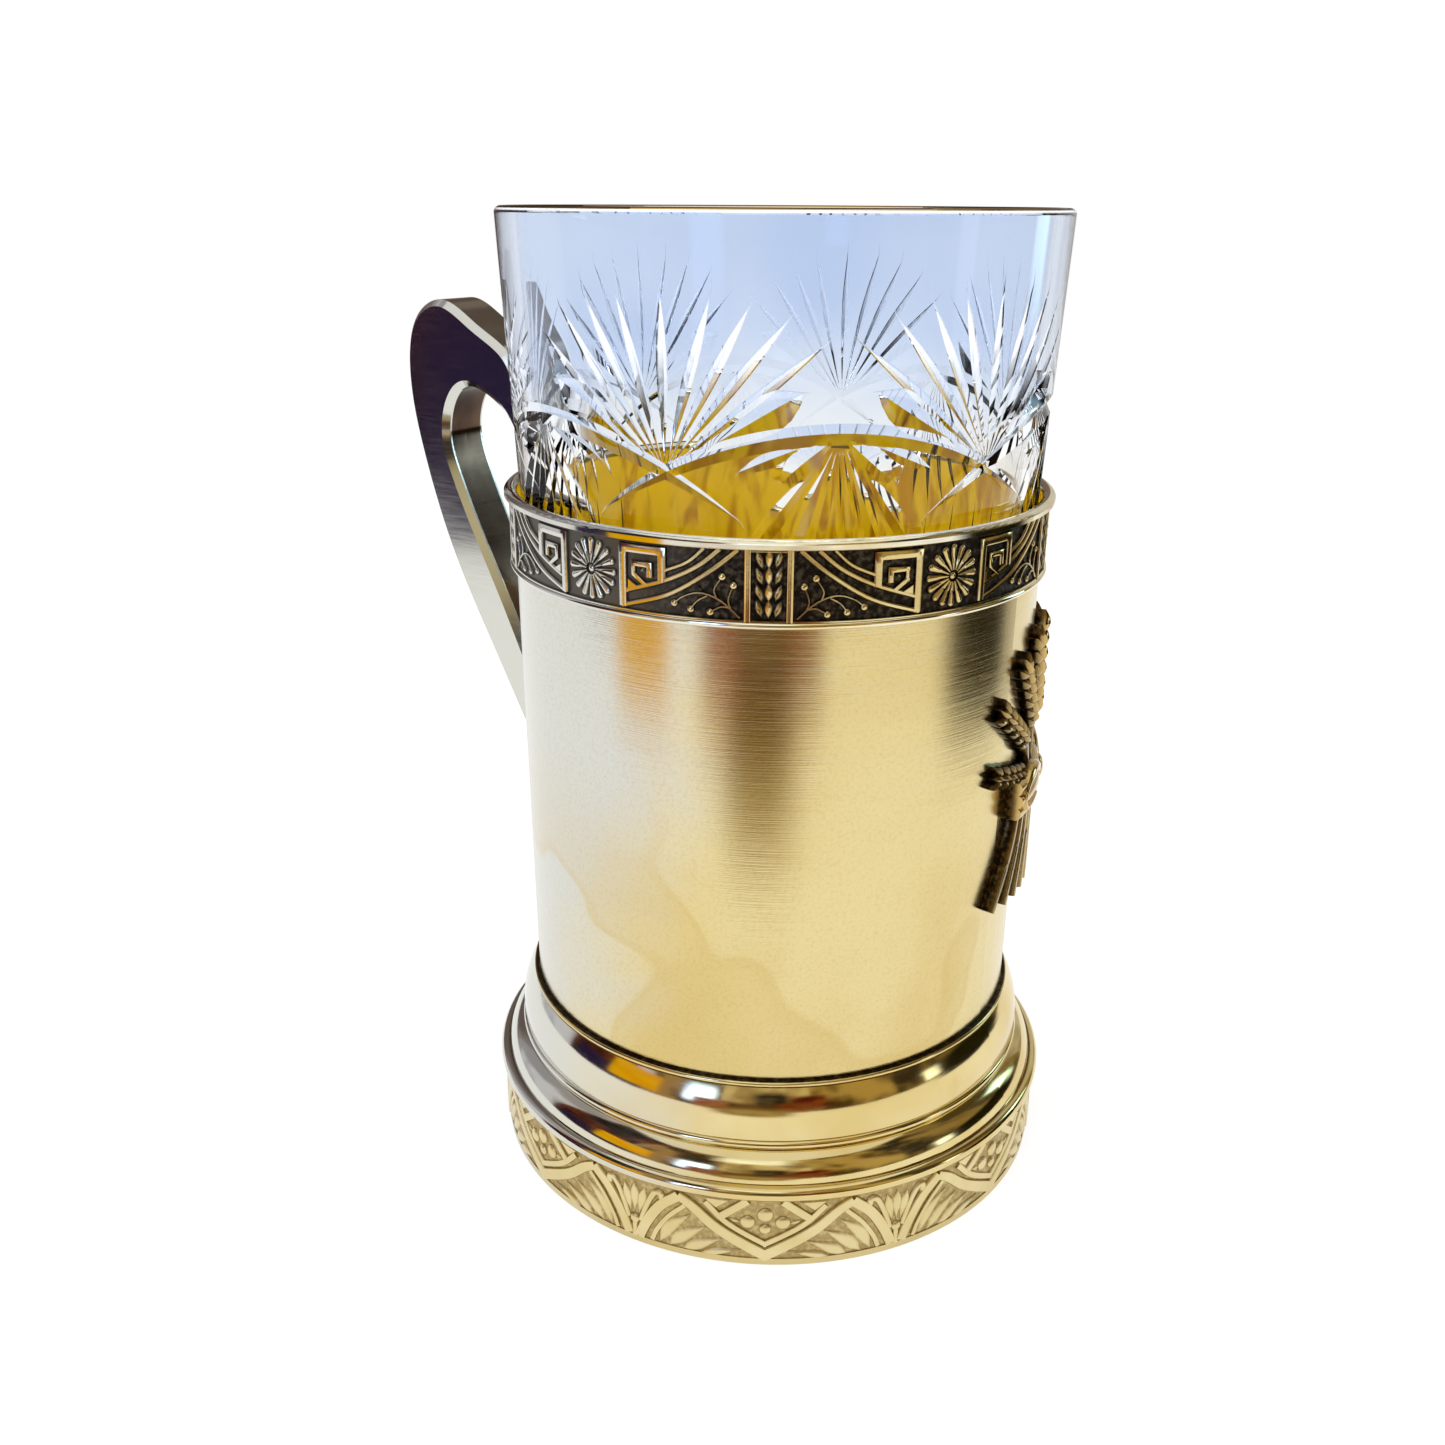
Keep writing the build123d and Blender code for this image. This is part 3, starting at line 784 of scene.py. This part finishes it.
def build_tumbler(material):
    """Tumbler with its wall cut outside and smooth inside."""
    low, high = box_mm("glass_tumbler")
    slope = (GLASS_RIM_RADIUS - GLASS_BASE_RADIUS) / (high.z - low.z)

    def outer(z):
        return GLASS_BASE_RADIUS + slope * (z - low.z)

    def at(degrees, z):
        return Vector((outer(FAN_HEIGHT) * radians(degrees), z))

    def swayed(turn):
        return turn + CUT_SWAY * sin(turn - CUT_SWAY_TURN) + FRONT

    sheet, triangles = carve_half(at, tumbler_cuts(at))
    points = []
    faces = []
    for repeat in range(CUT_REPEATS):
        for side in (1, -1):
            start = len(points)
            for degrees, z, depth in sheet:
                turn = CUT_TURN + radians(360 / CUT_REPEATS * repeat + side * degrees)
                points.append(polar(outer(z) - depth, swayed(turn), z))
            faces += [tuple(start + i for i in triangle) for triangle in triangles]
    profile = turned_profile(outer, slope, low.z, high.z)
    turns = [swayed(CUT_TURN + radians(CUT_STEP * k)) for k in range(round(360 / CUT_STEP))]
    faces += turned_faces(profile, len(turns), len(points))
    for turn in turns:
        points += [polar(radius, turn, z) for radius, z in profile]
    piece = mesh_object("cut_tumbler", points, faces, material, GLASS_CREASE)
    cone_normals(piece.data, outer, slope)
    return piece


# Materials: depth of a full bump, in metres
BUMP_DEPTH = 0.05 * MM
# Sleeve, outside: brush marks, streaks near the rim, dried water and specks
BRUSH_ROUGHNESS = (0.13, 0.24)
STREAK_STRENGTH = 0.5
STAIN_STRENGTH = 0.26
STAIN_RIM_STRENGTH = 0.16
SPECK_RANGE = (0.48, 0.78)
SPECK_STRENGTH = 0.17
# Sleeve, inside: yellow gilding; its wall splits between two depths below its widest radius
GILDING_ROUGHNESS = 0.5
GILDING_METALLIC = 0.3
WALL_TAPER = 0.7
WALL_SPLIT = (1.0, 0.9)
# Polished pieces: least and greatest share of their roughness
RUB_SHARES = (0.6, 2.0)
# Ornament: uneven edge of its ground, in millimetres
GROUND_RAGGED = 0.05
# Glass: how white its finer cuts are painted, a painted glitter of light caught in the cuts
CUT_GLITTER_SHARE = 0.72


def node_adder(tree):
    """Function that adds a node to an emptied tree and joins or sets its inputs."""
    tree.nodes.clear()

    def add(kind, inputs=(), **settings):
        node = tree.nodes.new("ShaderNode" + kind)
        for key, value in settings.items():
            setattr(node, key, value)
        for key, value in dict(inputs).items():
            if isinstance(value, bpy.types.NodeSocket):
                tree.links.new(value, node.inputs[key])
            else:
                node.inputs[key].default_value = value
        return node

    return add


def new_material(name):
    """Empty node material and the function that adds nodes to it."""
    material = bpy.data.materials.new(name)
    material.use_nodes = True
    return material, node_adder(material.node_tree)


def position_mm(add):
    """Place on the object in millimetres, its distance from the axis and its height."""
    place = add("TexCoord").outputs["Object"]
    scaled = add("VectorMath", {0: place, "Scale": 1 / MM}, operation="SCALE").outputs[0]
    split = add("SeparateXYZ", {0: scaled})
    flat = add("CombineXYZ", {0: split.outputs[0], 1: split.outputs[1]}).outputs[0]
    radius = add("VectorMath", {0: flat}, operation="LENGTH").outputs["Value"]
    return scaled, radius, split.outputs[2]


def between(add, value, low, high, smooth=True):
    """Share from 0 to 1 of a value's way between two limits."""
    kind = "SMOOTHSTEP" if smooth else "LINEAR"
    inputs = {"Value": value, "From Min": low, "From Max": high}
    return add("MapRange", inputs, interpolation_type=kind).outputs[0]


def ranged(add, value, low, high, limits=(0.0, 1.0)):
    """Value from low to high, by another value's way between two limits."""
    inputs = {"Value": value, "From Min": limits[0], "From Max": limits[1], "To Min": low, "To Max": high}
    return add("MapRange", inputs).outputs[0]


def combined(add, operation, *values):
    """Result of a sum on values or sockets, by its operation."""
    return add("Math", dict(enumerate(values)), operation=operation).outputs[0]


def noise(add, place, scale, detail=3.0, distortion=0.0):
    """Noise over a place."""
    inputs = {"Vector": place, "Scale": scale, "Detail": detail, "Distortion": distortion}
    return add("TexNoise", inputs).outputs[0]


def stretched(add, place, shares):
    """Place scaled by a share on each axis."""
    return add("VectorMath", {0: place, 1: shares}, operation="MULTIPLY").outputs[0]


def mixed(add, share, first, second):
    """Colour between two colours or colour sockets."""
    node = add("Mix", {0: share, 6: first, 7: second}, data_type="RGBA")
    return node.outputs[2]


def blend(add, value, low, high, first, second):
    """Colour between two sRGB colours, by a value's way between two limits."""
    return mixed(add, between(add, value, low, high), linear(first), linear(second))


def worn_and_lit_share(add, place, low, high):
    """Share of silver: grows towards the worn side, partly a painted cool reflection, with an uneven
    edge.
    """
    way = (cos(WORN_AND_LIT_SIDE), sin(WORN_AND_LIT_SIDE), 0)
    reach = add("VectorMath", {0: place, 1: way}, operation="DOT_PRODUCT").outputs["Value"]
    cloud = noise(add, place, 0.05, 3.0, 0.4)
    moved = combined(add, "ADD", reach, ranged(add, cloud, -WORN_AND_LIT_UNEVEN, WORN_AND_LIT_UNEVEN))
    height = add("SeparateXYZ", {0: place}).outputs[2]
    moved = combined(add, "ADD", moved, ranged(add, height, *WORN_AND_LIT_SHIFTS, limits=WORN_AND_LIT_HEIGHTS))
    return between(add, moved, low, high)


def metal(add, colour, roughness, height, bump, anisotropic=0.0, metallic=1.0):
    """Metal shader with a bump, joined to the output."""
    inputs = {"Base Color": colour, "Metallic": metallic, "Roughness": roughness}
    inputs["Specular IOR Level"] = 0.0
    if anisotropic:
        inputs["Anisotropic"] = anisotropic
        inputs["Tangent"] = add("Tangent", direction_type="RADIAL", axis="Z").outputs[0]
    bumped = add("Bump", {"Strength": bump, "Distance": BUMP_DEPTH, "Height": height})
    inputs["Normal"] = bumped.outputs[0]
    shader = add("BsdfPrincipled", inputs)
    add("OutputMaterial", {"Surface": shader.outputs[0]})


def stained_gilt(add, place, z, brush):
    """Colour of the sleeve's outside: brushed gilt, silver on one side from wear and a painted cool
    reflection, and water-stained.
    """
    low, high = box_mm("body_sleeve")
    cloud = noise(add, place, 0.03, 4.0, 0.5)
    pale = blend(add, cloud, 0.4, 0.72, PALE_GILT, WARM_GILT)
    # Silver on one side: worn gilding, partly a painted cool reflection
    pale = mixed(add, worn_and_lit_share(add, place, 10.0, 27.0), pale, linear(SILVER_WEAR_AND_COOL_LIGHT))
    near_rim = between(add, z, low.z + 30, high.z - 8)
    streak = combined(add, "MULTIPLY", between(add, brush, 0.5, 0.8), near_rim)
    light = combined(add, "MULTIPLY", streak, STREAK_STRENGTH)
    pale = mixed(add, light, pale, linear(SILVER_WEAR_AND_COOL_LIGHT))
    # Dried water: large soft patches with a darker edge, low on the sleeve
    blot = noise(add, place, 0.034, 1.5, 0.3)
    patch = between(add, blot, 0.515, 0.535)
    rim = combined(add, "SUBTRACT", patch, between(add, blot, 0.535, 0.57))
    faint = combined(add, "MULTIPLY", rim, STAIN_RIM_STRENGTH)
    wash = combined(add, "MULTIPLY_ADD", patch, STAIN_STRENGTH, faint)
    low_down = between(add, z, low.z + 46, low.z + 26)
    wet = combined(add, "MULTIPLY", wash, low_down)
    stained = mixed(add, wet, pale, linear(WATER_STAIN))
    speck = noise(add, place, 2.6, 3.0, 0.2)
    return mixed(add, ranged(add, speck, 0.0, SPECK_STRENGTH, SPECK_RANGE), stained, linear(GRIME))


def yellow_gilt(add, place):
    """Colour of the sleeve's inside: yellow gilding, mottled with painted glints and painted shade in
    deeper patches.
    """
    glint = noise(add, stretched(add, place, (0.22, 0.22, 0.09)), 1.0, 3.0, 0.8)
    # Deepest patches: painted shade
    gold = blend(add, glint, 0.42, 0.6, YELLOW_GILT, DEEP_YELLOW)
    return mixed(add, between(add, glint, 0.58, 0.78), gold, linear(AMBER_SHADE))


def satin_gilt():
    """Sleeve: brushed outside and gilded inside."""
    material, add = new_material("pale_gilt_satin")
    place, radius, z = position_mm(add)
    low, high = box_mm("body_sleeve")
    brush = noise(add, stretched(add, place, (0.05, 0.05, 11.0)), 1.0, 2.0)
    # The wall's own taper is taken off the radius to tell its outside from its inside
    taper = between(add, z, low.z, high.z, smooth=False)
    lean = combined(add, "MULTIPLY", taper, WALL_TAPER)
    straight = combined(add, "SUBTRACT", radius, lean)
    outside = between(add, straight, high.x - WALL_SPLIT[0], high.x - WALL_SPLIT[1])
    colour = mixed(add, outside, yellow_gilt(add, place), stained_gilt(add, place, z, brush))
    satin = ranged(add, brush, *BRUSH_ROUGHNESS)
    rough = add("Mix", {0: outside, 2: GILDING_ROUGHNESS, 3: satin}).outputs[0]
    full = ranged(add, outside, GILDING_METALLIC, 1.0)
    metal(add, colour, rough, brush, bump=0.2, anisotropic=0.5, metallic=full)
    return material


def polished_gilt(name, colours, worn_and_lit=(10.0, 30.0), roughness=0.08):
    """Mouldings, wires and handle: polished, faintly rubbed, and silver on the worn side, partly a
    painted cool reflection.
    """
    material, add = new_material(name)
    place, _, _ = position_mm(add)
    cloud = noise(add, place, 0.06, 4.0, 0.5)
    rub = noise(add, stretched(add, place, (0.2, 0.2, 3.0)), 1.0, 4.0)
    colour = blend(add, cloud, 0.35, 0.7, *colours)
    # Silver on the worn side: worn gilding, partly a painted cool reflection
    colour = mixed(add, worn_and_lit_share(add, place, *worn_and_lit), colour, linear(SILVER_WEAR_AND_COOL_LIGHT))
    rough = ranged(add, rub, roughness * RUB_SHARES[0], roughness * RUB_SHARES[1])
    metal(add, colour, rough, rub, bump=0.03)
    return material


def relief_gilt(name, node, bright, recess, worn_and_lit, depths, roughness):
    """Ornament: dark in its ground and bright on top, by depth from its node's widest radius."""
    material, add = new_material(name)
    place, radius, _ = position_mm(add)
    grain = noise(add, place, 1.6, 4.0)
    cloud = noise(add, place, 0.12, 3.0, 0.4)
    level = combined(add, "ADD", radius, ranged(add, grain, -GROUND_RAGGED, GROUND_RAGGED))
    widest = box_mm(node)[1].x
    raised = between(add, level, widest + depths[0], widest + depths[1])
    # Silver on the worn side: worn gilding, partly a painted cool reflection
    worn_and_lit_part = worn_and_lit_share(add, place, 16.0, 32.0)
    top = blend(add, cloud, 0.35, 0.7, *bright)
    top = mixed(add, worn_and_lit_part, top, linear(worn_and_lit[0]))
    ground = blend(add, grain, 0.42, 0.72, *recess)
    ground = mixed(add, worn_and_lit_part, ground, linear(worn_and_lit[1]))
    colour = mixed(add, raised, ground, top)
    metal(add, colour, ranged(add, raised, *roughness), grain, bump=0.2)
    return material


def crystal():
    """Clear glass with a faint blue cast, fine cuts painted white as a painted glitter, and a gilt line
    on the rim.
    """
    material, add = new_material("crystal")
    place, radius, z = position_mm(add)
    low, high = box_mm("glass_tumbler")
    ripple = noise(add, place, 0.05, 1.0)
    tint = blend(add, ripple, 0.3, 0.7, CRYSTAL, CRYSTAL_PALE)
    cast = between(add, z, FAN_HEIGHT - 3, FAN_HEIGHT + 11)
    tint = mixed(add, cast, linear(CRYSTAL_CLEAR), tint)
    # Depth below the uncut cone
    cone = ranged(add, z, GLASS_BASE_RADIUS, GLASS_RIM_RADIUS, (low.z, high.z))
    depth = combined(add, "SUBTRACT", cone, radius)
    # The finer cuts above the fans are painted white: painted glitter of light caught in them
    white = combined(add, "MULTIPLY", between(add, depth, 0.04, 0.14), between(add, depth, 0.5, 0.3))
    high_up = between(add, z, FAN_HEIGHT + 5, FAN_HEIGHT + 15)
    white = combined(add, "MULTIPLY", white, high_up)
    rim = between(add, z, high.z - 0.3, high.z - 0.2)
    colour = mixed(add, white, tint, linear(CUT_GLITTER_WHITE))
    colour = mixed(add, rim, colour, linear(CRYSTAL_RIM))
    solid = combined(add, "MULTIPLY", white, CUT_GLITTER_SHARE)
    solid = combined(add, "MAXIMUM", solid, rim)
    bump = add("Bump", {"Strength": 0.04, "Distance": 0.2 * MM, "Height": ripple})
    inputs = {"Base Color": colour, "Metallic": rim, "Roughness": 0.0, "IOR": 1.52}
    inputs["Specular IOR Level"] = 0.06
    inputs["Specular Tint"] = (0.25, 0.25, 0.25, 1.0)
    inputs["Transmission Weight"] = ranged(add, solid, 1.0, 0.0)
    inputs["Normal"] = bump.outputs[0]
    shader = add("BsdfPrincipled", inputs)
    add("OutputMaterial", {"Surface": shader.outputs[0]})
    return material


# Stage, in metres
WHITE = (1, 1, 1, 1)
WORLD_LIGHT = 1.04
FLOOR_DROP = 0.0001
FLOOR_WHITES = (0.93, 0.95)
FLOOR_GLOW = 0.75
LAMP_AIM = (0, 0, 0.06)
# Tall panels all round, from the camera's side on to its right, each with two colours
PANELS = (
    ((150, 126, 84), (230, 216, 176)),
    ((84, 62, 26), (196, 172, 112)),
    ((44, 34, 14), (156, 134, 88)),
    ((84, 72, 44), (146, 130, 90)),
    ((150, 140, 130), (214, 212, 208)),
    ((96, 82, 72), (130, 116, 106)),
    ((112, 100, 94), (150, 140, 138)),
    ((170, 166, 170), (225, 224, 230)),
    ((26, 16, 18), (112, 50, 28)),
    ((60, 44, 26), (172, 140, 92)),
)
PANEL_DISTANCE = 0.46
PANEL_WIDTH = 0.3
PANEL_HEIGHTS = (0.0, 0.8)
# Cards: degrees from the camera's side, distance, width, lower and upper edge, colours, soft share
CARDS = {
    "card_left": (-68, 0.36, 0.22, (0.0, 0.1), ((40, 28, 62), (52, 38, 72)), 0.03),
    "card_wood": (-52, 0.16, 0.07, (0.02, 0.08), ((254, 192, 0), (246, 178, 0)), 0.1),
    "card_rose": (-21, 0.185, 0.06, (0.004, 0.06), ((150, 84, 62), (170, 112, 84))),
    "card_rust": (11, 0.185, 0.06, (0.01, 0.06), ((116, 56, 26), (140, 82, 44))),
    "card_fade": (-5, 0.14, 0.1, (-0.015, 0.034), ((150, 128, 84), (184, 162, 114)), 0.4),
    "card_dark": (-5, 0.185, 0.115, (-0.02, 0.06), ((64, 40, 12), (106, 76, 42))),
    "card_right": (91, 0.2, 0.19, (-0.02, 0.08), ((22, 20, 2), (36, 31, 8))),
    "window_high": (-6, 0.44, 0.36, (0.38, 0.8), ((276, 286, 300), (300, 316, 346))),
    "window_left": (-53, 0.44, 0.09, (0.04, 0.24), ((222, 222, 246), (235, 235, 250))),
    "window_front": (-27, 0.44, 0.12, (0.02, 0.26), ((360, 430, 560), (400, 470, 610))),
    "room_black": (2, 0.44, 0.14, (0.02, 0.26), ((30, 30, 28), (92, 84, 70))),
    "room_red": (17, 0.44, 0.16, (0.01, 0.22), ((92, 22, 12), (140, 76, 40))),
    "window_right": (113, 0.44, 0.1, (0.04, 0.3), ((350, 430, 470), (380, 460, 500))),
    "window_side": (71, 0.44, 0.08, (0.0, 0.13), ((360, 380, 400), (390, 410, 430))),
}
CARD_SHIFT = 20


def seen_directly(add):
    """1 for a ray from the camera, a reflection or glass, and 0 for one that only lights."""
    rays = add("LightPath").outputs
    seen = combined(add, "MAXIMUM", rays["Is Camera Ray"], rays["Is Glossy Ray"])
    return combined(add, "MAXIMUM", seen, rays["Is Transmission Ray"])


def studio_world():
    """White surroundings for the camera, metal and glass, and light for the rest."""
    world = bpy.data.worlds.new("studio")
    scene.world = world
    world.use_nodes = True
    add = node_adder(world.node_tree)
    strength = ranged(add, seen_directly(add), WORLD_LIGHT, 1.0)
    sky = add("Background", {"Color": WHITE, "Strength": strength})
    add("OutputWorld", {"Surface": sky.outputs[0]})


def studio_floor():
    """Plain white floor that keeps a soft shadow."""
    bpy.ops.mesh.primitive_plane_add(size=4, location=(0, 0, -FLOOR_DROP))
    floor = bpy.context.object
    floor.name = "floor"
    material, add = new_material("floor")
    grain = noise(add, add("TexCoord").outputs["Object"], 40.0, 2.0)
    shades = [(white, white, white, 1) for white in FLOOR_WHITES]
    diffuse = add("BsdfDiffuse", {"Color": mixed(add, grain, *shades)}).outputs[0]
    glow = add("Emission", {"Color": WHITE, "Strength": 1.0}).outputs[0]
    share = combined(add, "MULTIPLY", seen_directly(add), FLOOR_GLOW)
    surface = add("MixShader", {0: share, 1: diffuse, 2: glow}).outputs[0]
    add("OutputMaterial", {"Surface": surface})
    floor.data.materials.append(material)


def studio_lamp(name, degrees, distance, height, size, power, colour, mirrored=True):
    """Soft lamp aimed at the object; it may be kept out of reflections."""
    data = bpy.data.lights.new(name, "AREA")
    data.shape = "RECTANGLE"
    data.size = size[0]
    data.size_y = size[1]
    data.energy = power
    data.color = colour
    lamp = bpy.data.objects.new(name, data)
    scene.collection.objects.link(lamp)
    angle = FRONT + radians(degrees)
    place = Vector((distance * cos(angle), distance * sin(angle), height))
    way = Vector(LAMP_AIM) - place
    lamp.matrix_world = Matrix.Translation(place) @ way.to_track_quat("-Z", "Y").to_matrix().to_4x4()
    lamp.visible_glossy = mirrored


def reflected_card(name, degrees, distance, width, heights, colours, soft=0.25):
    """Upright card that only polished metal shows: two uneven colours, with soft edges."""
    bpy.ops.mesh.primitive_plane_add(size=1)
    card = bpy.context.object
    card.name = name
    angle = FRONT + radians(degrees)
    place = Vector((distance * cos(angle), distance * sin(angle), sum(heights) / 2))
    facing = Vector((-cos(angle), -sin(angle), 0)).to_track_quat("Z", "Y").to_matrix().to_4x4()
    size = Matrix.Diagonal((width, heights[1] - heights[0], 1, 1))
    card.matrix_world = Matrix.Translation(place) @ facing @ size
    material, add = new_material(name)
    spot = add("TexCoord").outputs["Object"]
    moved = add("VectorMath", {0: spot, 1: tuple(place * CARD_SHIFT)}, operation="ADD").outputs[0]
    uneven = noise(add, moved, 2.2)
    shade = blend(add, uneven, 0.4, 0.6, *colours)
    surface = add("Emission", {"Color": shade, "Strength": 1.0}).outputs[0]
    if soft:
        across_up = add("SeparateXYZ", {0: spot}).outputs
        reach = [combined(add, "ABSOLUTE", across_up[axis]) for axis in (0, 1)]
        share = combined(add, "MULTIPLY", *[between(add, value, 0.5, 0.5 - soft) for value in reach])
        clear = add("BsdfTransparent").outputs[0]
        surface = add("MixShader", {0: share, 1: clear, 2: surface}).outputs[0]
    add("OutputMaterial", {"Surface": surface})
    card.data.materials.append(material)
    card.visible_camera = False
    card.visible_diffuse = False
    card.visible_transmission = False
    card.visible_shadow = False


def studio_camera():
    """Camera at the photograph's place."""
    data = bpy.data.cameras.new("camera")
    data.lens = CAMERA_LENS
    data.sensor_width = CAMERA_SENSOR
    data.clip_start = 0.01
    camera = bpy.data.objects.new("camera", data)
    scene.collection.objects.link(camera)
    place = polar(CAMERA_DISTANCE, FRONT, CAMERA_HEIGHT)
    camera.matrix_world = (
        Matrix.Translation(place)
        @ Matrix.Rotation(CAMERA_TURN - CAMERA_YAW, 4, "Z")
        @ Matrix.Rotation(radians(90) - CAMERA_PITCH, 4, "X")
        @ Matrix.Rotation(CAMERA_ROLL, 4, "Z")
    )
    scene.camera = camera


studio_world()
studio_floor()
studio_camera()
studio_lamp("key_lamp", -55, 0.7, 0.6, (0.5, 0.5), 1.9, (1.0, 0.98, 0.95))
studio_lamp("fill_lamp", 60, 0.8, 0.5, (0.4, 0.6), 1.3, (1.0, 0.97, 0.92))
studio_lamp("top_lamp", 0, 0.2, 0.7, (0.5, 0.5), 2.6, (1.0, 0.98, 0.94), mirrored=False)
for k, colours in enumerate(PANELS):
    turn = 360 / len(PANELS) * k
    reflected_card(f"room_{k}", turn, PANEL_DISTANCE, PANEL_WIDTH, PANEL_HEIGHTS, colours, soft=0.0)
for name, settings in CARDS.items():
    reflected_card(name, *settings)

sleeve_gilt = satin_gilt()
# The foot's left half turns silver: worn gilding, partly a painted cool reflection
bright_gilt = polished_gilt("pale_gilt_polished", (PALE_GILT, WARM_GILT), worn_and_lit=(-4.0, 22.0))
rim_gilt = polished_gilt("pale_gilt_rim", (BRIGHT_RIM, PALE_GILT))
handle_gilt = polished_gilt("worn_silver_gilt", (SILVER_WEAR_AND_COOL_LIGHT, DULL_SILVER), roughness=0.1)
# The handle's inner strip is painted dark brown: a painted dark reflection of its surroundings
strip_reflection_gilt = polished_gilt("silver_gilt_dark_reflection", (STRIP_REFLECTION, DARK_STRIP_REFLECTION), worn_and_lit=(90.0, 120.0))
ring_gilt = polished_gilt("pale_gilt_ring", (MATTE_GILT, MATTE_GROUND), roughness=0.3)
# The collar darkens in its seam under the sleeve: painted shade
seam_shade_gilt = relief_gilt(
    "seam_painted_shade",
    "foot_collar",
    bright=(PALE_GILT, WARM_GILT),
    recess=(SEAM_DARK, SEAM_BROWN),
    worn_and_lit=(SILVER_WEAR_AND_COOL_LIGHT, SEAM_BROWN),
    depths=(-0.3, -0.12),
    roughness=(0.5, 0.12),
)
frieze_gilt = relief_gilt(
    "blackened_gilt",
    "frieze_band",
    bright=(PALE_GILT, AGED_GILT),
    recess=(PATINA, BROWN_PATINA),
    worn_and_lit=(SILVER_WEAR_AND_COOL_LIGHT, GREY_PATINA),
    depths=(-0.2, -0.06),
    roughness=(0.5, 0.16),
)
# Its ground is darker than its raised work: painted shade in the creases
foot_gilt = relief_gilt(
    "pale_gilt_matte",
    "foot_band",
    bright=(MATTE_GILT, MATTE_LIGHT),
    recess=(MATTE_SHADE, MATTE_GROUND),
    worn_and_lit=(MATTE_WORN_AND_LIT, MATTE_SHADE),
    depths=(-0.42, -0.15),
    roughness=(0.5, 0.34),
)
# Its raised tops are lighter: polish, partly a painted highlight
sheaf_gilt = relief_gilt(
    "blackened_bronze",
    "body_sleeve",
    bright=(AGED_GILT, BRONZE_POLISH_AND_HIGHLIGHT),
    recess=(BRONZE_PATINA, BRONZE_SHADE),
    worn_and_lit=(AGED_GILT, BRONZE_SHADE),
    depths=(0.4, 1.9),
    roughness=(0.26, 0.09),
)

surfaces = {
    "rim_wire": rim_gilt,
    "frieze_wire": rim_gilt,
    "foot_collar": seam_shade_gilt,
    "foot_shell": bright_gilt,
    "foot_bead": bright_gilt,
    "foot_ring": ring_gilt,
    "body_sleeve": sleeve_gilt,
    "floor_disc": sleeve_gilt,
    "applique_rivets": sleeve_gilt,
}
for name in nodes:
    if name.startswith("handle"):
        surfaces[name] = strip_reflection_gilt if name == "handle_inner_strip" else handle_gilt
for name, material in surfaces.items():
    nodes[name].data.materials.clear()
    nodes[name].data.materials.append(material)

frieze = build_frieze(frieze_gilt)
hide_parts("frieze_band")
foot_band = build_foot_band(foot_gilt)
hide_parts("foot_band")
sheaf = build_sheaf(sheaf_gilt)
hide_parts("applique_sheaf")
for piece in (frieze, foot_band, sheaf):
    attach(piece, "holder")
tumbler = build_tumbler(crystal())
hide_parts("glass_tumbler")
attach(tumbler, "tumbler")
tumbler.visible_shadow = False
